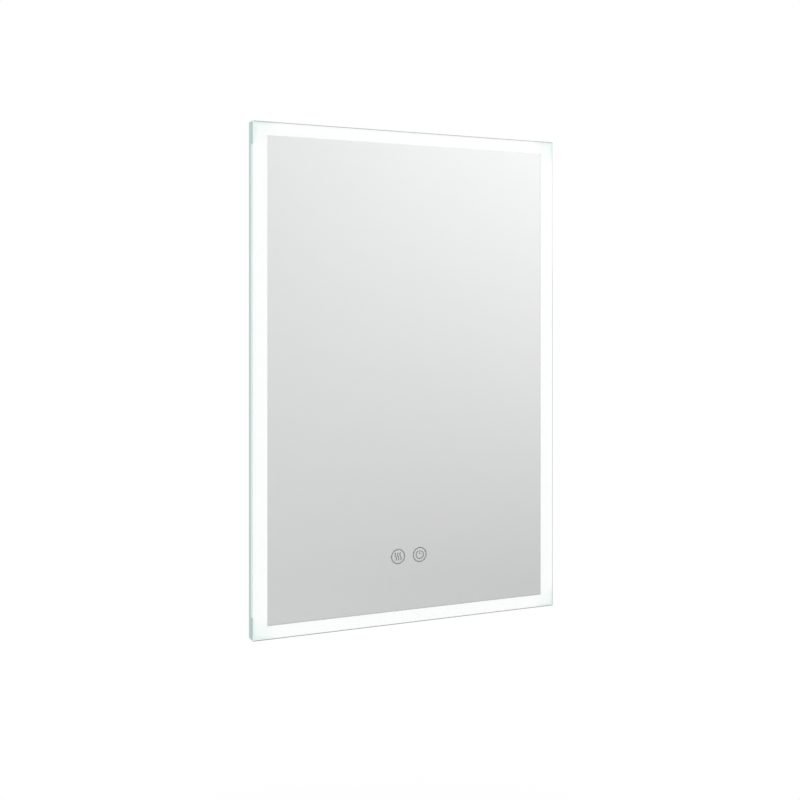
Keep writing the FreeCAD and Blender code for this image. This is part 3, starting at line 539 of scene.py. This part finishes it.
arris = new_finish("polished_edge")
lean, slope, rise = arris.split(arris.place("Normal"))
front_facing = abs(slope).step(0.2, 0.6)
streak = arris.noise(60.0, 2.0, (1, 8, 1))
body = arris.blend(streak, (0.44, 0.54, 0.515), (0.49, 0.58, 0.56))
# Painted shade: the arris is darker along the bottom and darker still down the right side, chosen by which
# way each face points.
body = arris.blend(front_facing * rise.step(-0.3, -0.6), body, (0.33, 0.39, 0.375))
body = arris.blend(front_facing * lean.step(0.3, 0.6), body, (0.21, 0.27, 0.255))
lit = lit_length(arris)
side_glow = arris.blend(lit, (0.01, 0.015, 0.015), (0.22, 0.23, 0.235))
# Painted light: the strips' glow is made brighter on the left arris, even at its corners, faint on the top
# one and nothing on the bottom and right ones.
top_arris_painted_glow = arris.blend(lit * rise.step(0.3, 0.6), (0.0, 0.0, 0.0), (0.10, 0.065, 0.07))
left_arris_painted_glow = arris.blend(lit, (0.34, 0.43, 0.41), (0.47, 0.52, 0.505))
painted_arris_glow = arris.blend(lean.step(-0.3, -0.6), top_arris_painted_glow, left_arris_painted_glow)
arris.output(arris.surface(
    Base_Color=body, Roughness=streak.step(0.2, 0.8, 0.10, 0.22), Coat_Weight=0.4,
    Emission_Color=arris.blend(front_facing, side_glow, painted_arris_glow), Emission_Strength=1.0))
print("glass finishes ready")

# %% Pane
ARRIS_FRONT = 2.0 * MM
ARRIS_BACK = 0.5 * MM
PANE_CORNER = 0.6 * MM
AIR_BEHIND = 0.02 * MM

pane_builder = Builder()
pane_outline = rounded(0, pane_middle_z, 2 * half_width, 2 * half_height, PANE_CORNER, steps=2)
pane_back = pane_high.y - AIR_BEHIND
rim_profile = [(-ARRIS_FRONT, pane_low.y), (0, pane_low.y + ARRIS_FRONT),
               (0, pane_back - ARRIS_BACK), (-ARRIS_BACK, pane_back)]
front_ring, back_ring = pane_builder.wall(pane_outline, rim_profile, 1)
pane_builder.cap([front_ring], 0)
pane_builder.cap([back_ring], 0)
pane_builder.finish("mirror_pane", ["float_glass", "polished_edge"], "clear_glass", ["glass_pane"],
                    smooth=False)

# %% [markdown]
# ## Silver and etched icons
# The silver is a wet-laid coat on the back of the pane: a near-perfect mirror whose
# roughness varies a little. Along its lower and right edges a darker hairline is painted
# into its colour as shade, and its rear face carries the usual grey paint that keeps damp
# off it. The two touch icons are lines etched into the silver, so they scatter what the
# mirror would reflect and look grey. They could be drawn in the silver's shader, but they
# are pieces of the frame, so they only need a rougher metal.

# %% Finishes behind the glass
SIGN_REACH = 11 * MM
HAIRLINE = 2.4 * MM


def box_middle(node):
    """X and Z of the middle of a frame piece."""
    low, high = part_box(node)
    return (low.x + high.x) / 2, (low.z + high.z) / 2


silver = new_finish("mirror_silver")
_, facing, _ = silver.split(silver.place("Normal"))
painted = facing.above(0.5)
x, _, z = silver.split(silver.place())
to_edge = (silver_high.x - x).smaller(z - silver_low.z)
# Painted shade: a darker hairline along the silver's lower and right edges.
painted_edge_shade = to_edge.step(HAIRLINE, HAIRLINE * 0.7)
cloud = silver.noise(5.0, 4.0)
coat = silver.blend(cloud, (0.958, 0.948, 0.950), (0.966, 0.957, 0.959))
coat = silver.blend(painted_edge_shade, coat, (0.83, 0.825, 0.825))
spray = silver.noise(260.0, 3.0)
paint = silver.blend(spray, (0.27, 0.29, 0.29), (0.33, 0.35, 0.345))
silver.output(silver.surface(
    Base_Color=silver.blend(painted, coat, paint), Metallic=1 - painted,
    Roughness=cloud.step(0.2, 0.8, 0.012, 0.03) + painted * 0.5,
    Normal=silver.bump(spray * painted, 0.02 * MM)))

etched = new_finish("etched_lines")
speckle = etched.noise(900.0, 2.0)
x, _, z = etched.split(etched.place())
away = []
for icon in ("icon_demister", "icon_power"):
    middle_x, middle_z = box_middle(icon)
    away.append((x - middle_x).reach(z - middle_z))
in_ring = away[0].smaller(away[1]).step(SIGN_REACH, SIGN_REACH * 0.95)
line = etched.blend(in_ring, (0.56, 0.56, 0.565), (0.42, 0.42, 0.425))
etched.output(etched.surface(
    Base_Color=etched.blend(speckle * 0.1, line, (0.9, 0.9, 0.9)), Metallic=1.0,
    Roughness=speckle.step(0.3, 0.7, 0.5, 0.65)))
print("silver and icons ready")

# %% [markdown]
# ## The frosted band
# Sand-blasting the back of the glass makes a white screen, and the strips light it evenly.
# Only the corners fall off, where the strips end short of the mitre and the light turns
# faintly green from crossing the glass edgeways. Lamps behind a real screen would render
# slowly and with grain, so the glow is emission that depends on the distance to the edges.

# %% Frosting
FALL_OFF = (10 * MM, 48 * MM)
OUTER_STRIP = (1 * MM, 11 * MM)

frost = new_finish("frosted_band")
to_side, to_end = edge_distances(frost)
fade = to_side.larger(to_end).step(*FALL_OFF)
inner = to_side.smaller(to_end).step(*OUTER_STRIP)
sand = frost.noise(1400.0, 2.0)
corner_glow = frost.blend(inner, (0.70, 0.81, 0.785), (0.835, 0.872, 0.868))
glow = frost.blend(fade, corner_glow, (0.897, 0.895, 0.888))
frost.output(frost.surface(
    Base_Color=frost.blend(sand, (0.22, 0.23, 0.23), (0.26, 0.27, 0.27)), Roughness=0.7,
    Emission_Color=glow, Emission_Strength=1.0, Normal=frost.bump(sand, 0.05 * MM)))
print("frosted band ready")

# %% [markdown]
# ## Opal sides and aluminium rails
# The side of the mirror is an opal acrylic profile that carries light out to the wall. Its
# corner pieces are welded on and stay dark. Behind it sits a satin anodised rail, with the
# fine lines of the extrusion running along it. The acrylic could scatter light inside, but
# at 3 mm it looks like paper with light in it: matt, a little glossy and faintly glowing.
# The rail's lines are noise drawn out along one axis, which costs no geometry.

# %% Finishes of the sides


def opal(name, glow):
    """Cloudy acrylic. glow is the light that comes through it."""
    tree = new_finish(name)
    milk = tree.noise(25.0, 4.0)
    tree.output(tree.surface(
        Base_Color=tree.blend(milk, (0.50, 0.62, 0.59), (0.54, 0.65, 0.62)), Roughness=0.32,
        Coat_Weight=0.15, Emission_Color=tree.blend(milk, glow, tuple(1.04 * c for c in glow)),
        Emission_Strength=1.0, Normal=tree.bump(tree.noise(220.0), 0.04 * MM)))


opal("opal_lit", (0.26, 0.285, 0.285))
opal("opal_dark", (0.012, 0.015, 0.015))


def metal(name, dark, light, rough, stretch, scale=120.0, depth=0.03 * MM):
    """Metal whose grain is drawn out along one axis by stretch."""
    tree = new_finish(name)
    lines = tree.noise(scale, 5.0, stretch)
    tree.output(tree.surface(
        Base_Color=tree.blend(lines, dark, light), Metallic=1.0,
        Roughness=lines.step(0.25, 0.75, *rough), Normal=tree.bump(lines, depth)))


ANODISED = ((0.71, 0.84, 0.82), (0.78, 0.91, 0.89), (0.34, 0.46))
metal("rail_upright", *ANODISED, (1, 1, 0.01))
metal("rail_level", *ANODISED, (0.01, 1, 1))
print("side finishes ready")

# %% [markdown]
# ## Finishes of the back and the inside
# The back is a powder-coated sheet with bright zinc fixings and rubber feet. The inside is
# only seen through the vents: moulded housings, printed boards, a heating foil that keeps
# the glass clear of steam, and soft leads. Each family of finishes is one function, whose
# colours, gloss and grain differ from piece to piece.

# %% Coats, plastics and rubber


def moulded(name, dark, light, rough, scale, depth, coat=0.0):
    """Moulded or sprayed surface: slight colour drift and a fine grain."""
    tree = new_finish(name)
    grain = tree.noise(scale, 3.0)
    drift = tree.noise(9.0, 2.0)
    tree.output(tree.surface(
        Base_Color=tree.blend(drift, dark, light), Roughness=grain.step(0.25, 0.75, *rough),
        Coat_Weight=coat, Normal=tree.bump(grain, depth)))


moulded("powder_coat", (0.60, 0.61, 0.615), (0.63, 0.64, 0.645), (0.42, 0.58), 650.0, 0.10 * MM)
moulded("black_rubber", (0.022, 0.022, 0.024), (0.035, 0.035, 0.037), (0.62, 0.80), 500.0, 0.06 * MM)
moulded("white_moulding", (0.74, 0.74, 0.72), (0.78, 0.78, 0.76), (0.38, 0.50), 400.0, 0.05 * MM)
moulded("grey_moulding", (0.24, 0.25, 0.26), (0.28, 0.29, 0.30), (0.40, 0.55), 400.0, 0.05 * MM)
moulded("dark_moulding", (0.030, 0.030, 0.034), (0.045, 0.045, 0.050), (0.35, 0.50), 400.0, 0.05 * MM)
moulded("foam", (0.045, 0.045, 0.05), (0.075, 0.075, 0.08), (0.85, 0.95), 900.0, 0.25 * MM)
moulded("lead_sheath", (0.70, 0.70, 0.68), (0.76, 0.76, 0.74), (0.45, 0.60), 300.0, 0.04 * MM)
print("plastics ready")

# %% Fixings
EVEN = (1, 1, 1)
metal("zinc_plate", (0.47, 0.49, 0.51), (0.60, 0.61, 0.62), (0.26, 0.40), EVEN, 90.0)
metal("zinc_screw", (0.52, 0.54, 0.56), (0.66, 0.67, 0.67), (0.22, 0.34), EVEN, 300.0)
metal("rivet_metal", (0.66, 0.67, 0.68), (0.76, 0.76, 0.76), (0.30, 0.42), EVEN, 300.0)
metal("turned_brass", (0.66, 0.49, 0.22), (0.78, 0.61, 0.30), (0.22, 0.34), EVEN, 300.0)
print("metals ready")

# %% Printed boards
TRACK = 4.2 * MM
STRIP_FACE = -14.2 * MM
LAMP_FACE = -15.0 * MM
BOARD_FACE = -10.6 * MM
BOARD_GLOSS = {"Roughness": 0.35, "Coat_Weight": 0.2}


def in_front(depth, face):
    """1 where a depth lies in front of a face, towards -Y."""
    return depth.step(face - 0.1 * MM, face - 0.2 * MM)


def board(tree, mask, mask_light, solder):
    """Solder mask with paler tracks under it and small solder joints. Returns its colour."""
    x, _, z = tree.split(tree.place())
    track = (x + z).zigzag(TRACK).step(1.6 * MM, 2.0 * MM)
    joints = tree.noise(350.0, 1.0).step(0.62, 0.66)
    return tree.blend(joints, tree.blend(track, mask, mask_light), solder)


strip = new_finish("lamp_strip")
_, y, _ = strip.split(strip.place())
tone = board(strip, (0.80, 0.80, 0.77), (0.86, 0.86, 0.84), (0.86, 0.72, 0.28))
tone = strip.blend(in_front(y, STRIP_FACE), tone, (0.88, 0.88, 0.84))
behind_lamp = y.step(LAMP_FACE + 0.15 * MM, LAMP_FACE + 0.05 * MM)
before_lamp = y.step(LAMP_FACE - 0.2 * MM, LAMP_FACE - 0.1 * MM)
tone = strip.blend(behind_lamp * before_lamp, tone, (0.93, 0.72, 0.16))
strip.output(strip.surface(Base_Color=tone, **BOARD_GLOSS))
print("light strips ready")

# %% Driver board and heating foil
SLEEVES = (0.5 * MM, 0.8 * MM)
CORE = (7.5 * MM, 8 * MM)
CORE_ENDS = (14 * MM, 13.5 * MM)
HEATER_PITCH = 7 * MM

driver = new_finish("driver_board")
x, y, z = driver.split(driver.place())
middle_x, middle_z = box_middle("driver_board")
out_x = abs(x - middle_x)
out_z = abs(z - middle_z)
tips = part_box("driver_board")[0].y
tone = board(driver, (0.02, 0.13, 0.05), (0.03, 0.18, 0.08), (0.45, 0.44, 0.40))
bare_end = y.step(tips + SLEEVES[1], tips + SLEEVES[0])
sleeve = driver.blend(bare_end, (0.03, 0.035, 0.06), (0.62, 0.62, 0.62))
core = driver.blend(out_z.step(*CORE), (0.80, 0.62, 0.12), (0.035, 0.035, 0.04))
parts = driver.blend(out_x.step(*CORE_ENDS), sleeve, core)
tone = driver.blend(in_front(y, BOARD_FACE), tone, parts)
driver.output(driver.surface(Base_Color=tone, **BOARD_GLOSS))

foil = new_finish("heating_foil")
_, _, z = foil.split(foil.place())
serpent = z.zigzag(HEATER_PITCH).step(2.6 * MM, 3.0 * MM)
crease = foil.noise(18.0, 5.0)
foil.output(foil.surface(
    Base_Color=foil.blend(serpent, (0.70, 0.66, 0.56), (0.46, 0.45, 0.42)),
    Roughness=crease.step(0.2, 0.8, 0.25, 0.45), Normal=foil.bump(crease, 0.4 * MM)))
print("driver board and foil ready")

# %% [markdown]
# ## The rear cover
# The cover is one pressed and powder-coated sheet. Three upright beads stiffen it, two rows
# of slots let the warm air of the driver out, and a window behind each hanger gives the
# wall screw's head room. The coat rounds every cut edge a little, which is what tells a
# coated sheet from a sharp one. The holes could be cut with booleans, which leave thin
# triangles at every edge. Here each hole is an outline with its own rounded rim, and the
# sheet's two faces are filled in between the outlines.

# %% Places on the cover
SCREW_INSET = 7.8 * MM
SCREW_ENDS = 95 * MM
SCREWS_UPRIGHT = 5
RIVETS = [(sx * 22.5 * MM, (6 + sz * 16.5) * MM) for sx in (-1, 1) for sz in (-1, 1)]
LEAD_SPOT = (-105 * MM, -505 * MM)
BOX_SCREWS = [(x * MM, z * MM) for x, z in ((-10, -549), (130, -601), (-132.2, -575), (-77.8, -575))]


def screw_spots():
    """Centres of the cover screws, five on each upright side and three on each level one."""
    spots = []
    for sign in (-1, 1):
        upright_x = sign * (half_width - SCREW_INSET)
        level_z = pane_middle_z + sign * (half_height - SCREW_INSET)
        for k in range(SCREWS_UPRIGHT):
            reach = (half_height - SCREW_ENDS) * (2 * k / (SCREWS_UPRIGHT - 1) - 1)
            spots.append((upright_x, pane_middle_z + reach))
        for k in (-1, 0, 1):
            spots.append((k * (half_width - SCREW_ENDS), level_z))
    return spots


hanger_xs = [box_middle("hanger_" + side)[0] for side in ("left", "right")]
bumper_spots = [box_middle("bumper_" + corner) for corner in CORNERS]
print(len(screw_spots()), "screws, hangers at x", [round(x, 3) for x in hanger_xs])

# %% Holes in the cover
ROUND_STEPS = 16
SCREW_HOLE = 1.85 * MM
FOOT_HOLE = 3.1 * MM
RIVET_HOLE = 2.05 * MM
BOX_HOLE = 1.7 * MM
LEAD_HOLE = 6.1 * MM
WINDOW_Z = 5.4 * MM
WINDOW = {"width": 22 * MM, "height": 32.7 * MM, "corner": 6.6 * MM}
VENT_ROWS = (-526 * MM, -624 * MM)
VENT_COUNT = 12
VENT_MIDDLE = 60 * MM
VENT_PITCH = 9 * MM
VENT = {"width": 3 * MM, "height": 28 * MM, "corner": 1.49 * MM}

holes = [circle(x, z, SCREW_HOLE, ROUND_STEPS) for x, z in screw_spots()]
holes += [circle(x, z, FOOT_HOLE, ROUND_STEPS) for x, z in bumper_spots]
holes += [circle(x + rx, rz, RIVET_HOLE, ROUND_STEPS) for x in hanger_xs for rx, rz in RIVETS]
holes += [rounded(x, WINDOW_Z, **WINDOW) for x in hanger_xs]
holes += [circle(x, z, BOX_HOLE, ROUND_STEPS) for x, z in BOX_SCREWS]
holes.append(circle(*LEAD_SPOT, LEAD_HOLE))
for row_z in VENT_ROWS:
    for k in range(VENT_COUNT):
        vent_x = VENT_MIDDLE + VENT_PITCH * (k - (VENT_COUNT - 1) / 2)
        holes.append(rounded(vent_x, row_z, **VENT))
print(len(holes), "holes in the cover")

# %% Cover with its beads
SHEET = 1.0 * MM
SHEET_ROUND = 0.3 * MM
SHEET_CORNER = 1.2 * MM
BEAD_PITCH = 130 * MM
BEAD_MIDDLE_Z = -270 * MM
BEAD = {"width": 16 * MM, "height": 340 * MM, "corner": 7.99 * MM, "steps": 10}
BEAD_OUTSIDE = [(0.6, -3.0), (0.2, -2.96), (-0.3, -2.76), (-0.8, -2.3), (-1.3, -1.86), (-1.8, -1.64),
                (-2.4, -1.6)]


def in_metres(profile):
    """Profile of pairs in millimetres, made metres."""
    return [(reach * MM, y * MM) for reach, y in profile]


bead_profile = in_metres(BEAD_OUTSIDE)
bead_inside = [(grow - SHEET, y - SHEET) for grow, y in bead_profile]

cover_low, cover_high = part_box("rear_cover")
cover_front = cover_low.y
cover_back = cover_front + SHEET
cover_width = cover_high.x - cover_low.x
cover_height = cover_high.z - cover_low.z

cover = Builder()
cover_outline = rounded(0, pane_middle_z, cover_width, cover_height, SHEET_CORNER)
back_rings, front_rings = plate(cover, cover_outline, holes, cover_back, cover_front, SHEET_ROUND)
for k in (-1, 0, 1):
    bead = rounded(k * BEAD_PITCH, BEAD_MIDDLE_Z, **BEAD)
    foot, crown = cover.wall(bead, bead_profile)
    back_rings.append(foot)
    cover.cap([crown])
    foot, crown = cover.wall(bead, bead_inside)
    front_rings.append(foot)
    cover.cap([crown])
cover.cap(back_rings)
cover.cap(front_rings)
cover.finish("pressed_cover", ["powder_coat"], "coated_sheet", ["rear_cover"])

# %% [markdown]
# ## Hangers, screws and rubber
# Each hanger is a zinc-plated plate with a keyhole: the wall screw's head goes in at the
# round end and the mirror then drops so that the shank sits in the slot. The pan heads are
# lofted through circles, and the ring at the top of the dome goes over into a cross-shaped
# one of as many points, so the recess needs no boolean. Feet and grommet are spun from
# their profiles, since nothing on them breaks the round.

# %% Hangers
HANGER_ROUND = 0.4 * MM
HANGER_CORNER = 5 * MM
ENTRY_RADIUS = 6 * MM
SLOT_HALF = 2.75 * MM
SLOT_RISE = 14 * MM
SUNK_GROW = 1.6 * MM
SUNK_DEPTH = 1 * MM

for side in ("left", "right"):
    low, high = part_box("hanger_" + side)
    x, z = box_middle("hanger_" + side)
    hanger = Builder()
    outline = rounded(x, z, high.x - low.x, high.z - low.z, HANGER_CORNER, steps=6)
    hole = keyhole(x, 0, ENTRY_RADIUS, SLOT_HALF, SLOT_RISE)
    back_rings, front_rings = plate(hanger, outline, [hole], high.y, low.y, HANGER_ROUND)
    for rx, rz in RIVETS:
        sunk = circle(x + rx, rz, RIVET_HOLE, steps=24)
        first, last = hanger.wall(sunk, [(SUNK_GROW, high.y), (0, high.y - SUNK_DEPTH), (0, low.y)])
        back_rings.append(first)
        front_rings.append(last)
    hanger.cap(back_rings)
    hanger.cap(front_rings)
    hanger.finish("keyhole_hanger_" + side, ["zinc_plate"], "zinc_steel", ["hanger_" + side])

# %% Outlines of a screw
CROSS_ARM = 1.7 * MM
CROSS_HALF = 0.45 * MM
CROSS_ANGLES = (0, 12, 28, 45, 62, 78)


def cross(x, z, scale):
    """Cross outline with six points a quarter, beside the angles of a circle around it."""
    arm = CROSS_ARM * scale
    half = CROSS_HALF * scale
    middle = (arm + half) / 2
    quarter = [(arm, 0), (arm, half), (middle, half), (half, half), (half, middle), (half, arm)]
    points = []
    for turn in range(4):
        for u, v in quarter:
            for _ in range(turn):
                u, v = -v, u
            points.append((x + u, z + v))
    return points


def head_circle(x, z, radius):
    """Circle with its points at the angles that suit the cross."""
    turns = [math.radians(90 * turn + angle) for turn in range(4) for angle in CROSS_ANGLES]
    return [(x + radius * math.cos(t), z + radius * math.sin(t)) for t in turns]


print("a cross of", len(cross(0, 0, 1)), "points")

# %% Cover screws
SHANK_RADIUS = 1.75 * MM
SHANK_TIP = -10.0 * MM
HEAD_PROFILE = [(3.4, -3.0), (3.4, -2.45), (3.26, -2.0), (2.9, -1.62), (2.4, -1.36)]
RECESS = [(1.0, -1.22 * MM), (0.7, -2.3 * MM)]

screws = Builder()
for x, z in screw_spots():
    shank = [screws.ring(head_circle(x, z, SHANK_RADIUS), y) for y in (SHANK_TIP, cover_back)]
    head = [screws.ring(head_circle(x, z, radius), y) for radius, y in in_metres(HEAD_PROFILE)]
    head += [screws.ring(cross(x, z, scale), y) for scale, y in RECESS]
    for rings in (shank, head):
        for first, second in zip(rings, rings[1:]):
            screws.bridge(first, second)
    screws.cap([shank[0]])
    screws.cap([head[0], shank[-1]])
    screws.cap([head[-1]])
screws.finish("pan_screws", ["zinc_screw"], "zinc_steel", ["cover_screws"])

# %% Rubber feet and grommet
FOOT_PROFILE = [(2.0, -0.6), (2.6, -0.45), (3.1, -0.08), (3.4, 0), (6.1, 0), (6.6, -0.12), (6.9, -0.42),
                (7.0, -0.9), (7.0, -3.0), (3.0, -3.0), (3.0, -4.0), (3.9, -4.0), (4.0, -4.3), (1.8, -6.4)]
GROMMET_PROFILE = [(3.6, -1.5), (3.72, -1.15), (4.1, -1.0), (7.9, -1.0), (8.35, -1.18), (8.5, -1.6),
                   (8.5, -3.0), (6.0, -3.0), (6.0, -4.0), (8.5, -4.0), (8.5, -5.4), (8.3, -5.85),
                   (7.9, -6.0), (4.1, -6.0), (3.72, -5.85), (3.6, -5.5), (3.6, -1.5)]
GROMMET_STEPS = 48

for corner, (x, z) in zip(CORNERS, bumper_spots):
    foot = Builder()
    foot.turn(x, z, in_metres(FOOT_PROFILE))
    foot.finish("rubber_foot_" + corner, ["black_rubber"], "black_rubber", ["bumper_" + corner])

grommet = Builder()
grommet.turn(*LEAD_SPOT, in_metres(GROMMET_PROFILE), GROMMET_STEPS)
grommet.finish("lead_grommet", ["black_rubber"], "black_rubber", ["cable_grommet"])

# %% [markdown]
# ## Dressing the frame
# Every piece of the frame gets its finish here, by name, also those that finer ones stand
# for. The rails need two versions of one metal, because their grain runs along the extrusion.

# %% Finishes by piece
dress = {
    "glass_pane": "float_glass", "rear_cover": "powder_coat", "cover_screws": "zinc_screw",
    "hanger_left": "zinc_plate", "hanger_right": "zinc_plate", "cable_grommet": "black_rubber",
    "silvering": "mirror_silver", "icon_demister": "etched_lines", "icon_power": "etched_lines",
    "corner_key_screws": "zinc_screw", "strip_links": "lamp_strip", "hanger_rivets": "rivet_metal",
    "driver_base": "white_moulding", "driver_lid": "white_moulding", "driver_board": "driver_board",
    "terminal_box": "white_moulding", "terminal_lid": "white_moulding",
    "terminal_block": "grey_moulding", "terminal_screws": "turned_brass",
    "inner_screws": "zinc_screw", "sensor_demister": "dark_moulding",
    "sensor_power": "dark_moulding", "demister_pad": "heating_foil", "lead_mains": "lead_sheath",
    "lead_driver": "lead_sheath", "lead_strip": "lead_sheath", "leads_demister": "lead_sheath",
    "lead_clips": "grey_moulding",
}
for side in SIDES:
    dress["frost_" + side] = "frosted_band"
    dress["bond_tape_" + side] = "foam"
    dress["diffuser_" + side] = "opal_lit"
    dress["rail_" + side] = "rail_upright" if side in ("left", "right") else "rail_level"
    dress["led_strip_" + side] = "lamp_strip"
for corner in CORNERS:
    dress["diffuser_corner_" + corner] = "opal_dark"
    dress["corner_key_" + corner] = "grey_moulding"
    dress["bumper_" + corner] = "black_rubber"

for name, finish in dress.items():
    for material_slot in nodes[name].material_slots:
        material_slot.material = finishes[finish]
print("dressed", len(dress), "of", len(nodes), "pieces")

# %% [markdown]
# ## Soft edges
# Extruded and moulded pieces have no knife edges. The frame's meshes are loose triangles,
# so a copy is merged, its triangles are joined into flat faces again, and a small bevel
# goes along the outward edges. A modifier could do it, but it would also bevel the joints
# between triangles. Edges shorter than a few bevels, such as those round screw holes, are
# left alone, because one of them would hold back the bevel of the whole piece.

# %% Softened copies
FLAT = math.radians(0.5)
CREASE = math.radians(45)
LEAST_EDGE = 5
EXTRUDED = 0.35 * MM
MOULDED = 0.3 * MM
BOARD_EDGE = 0.12 * MM
MOULDINGS = {
    "driver_base": "driver_tray", "driver_lid": "driver_hood", "driver_board": "driver_parts",
    "terminal_box": "terminal_tray", "terminal_lid": "terminal_hood", "terminal_block": "pole_block",
    "sensor_demister": "touch_module_demister", "sensor_power": "touch_module_power",
    "lead_clips": "moulded_clips",
}

slots = {piece["node"]: piece["material_slot"] for piece in frame["record"]["subparts"]}


def soften(node, name, radius):
    """Copy of a frame piece with bevelled outward edges, in that piece's own finish."""
    copy = Builder()
    mesh = copy.mesh
    mesh.from_mesh(nodes[node].data)
    bmesh.ops.remove_doubles(mesh, verts=mesh.verts, dist=SAME_PLACE)
    bmesh.ops.dissolve_limit(mesh, angle_limit=FLAT, verts=mesh.verts, edges=mesh.edges)
    creased = [edge for edge in mesh.edges if edge.is_convex and edge.calc_face_angle() > CREASE]
    outward = [edge for edge in creased if edge.calc_length() > LEAST_EDGE * radius]
    bmesh.ops.bevel(mesh, geom=outward, offset=radius, segments=2, profile=0.5, affect="EDGES",
                    clamp_overlap=True, material=-1, face_strength_mode="ALL")
    copy.finish(name, [dress[node]], slots[node], [node])


for side in SIDES:
    soften("rail_" + side, "extruded_rail_" + side, EXTRUDED)
    soften("diffuser_" + side, "opal_side_" + side, EXTRUDED)
    soften("led_strip_" + side, "lamp_strip_" + side, BOARD_EDGE)
for corner in CORNERS:
    soften("diffuser_corner_" + corner, "opal_corner_" + corner, EXTRUDED)
    soften("corner_key_" + corner, "moulded_key_" + corner, MOULDED)
for node, name in MOULDINGS.items():
    soften(node, name, MOULDED)
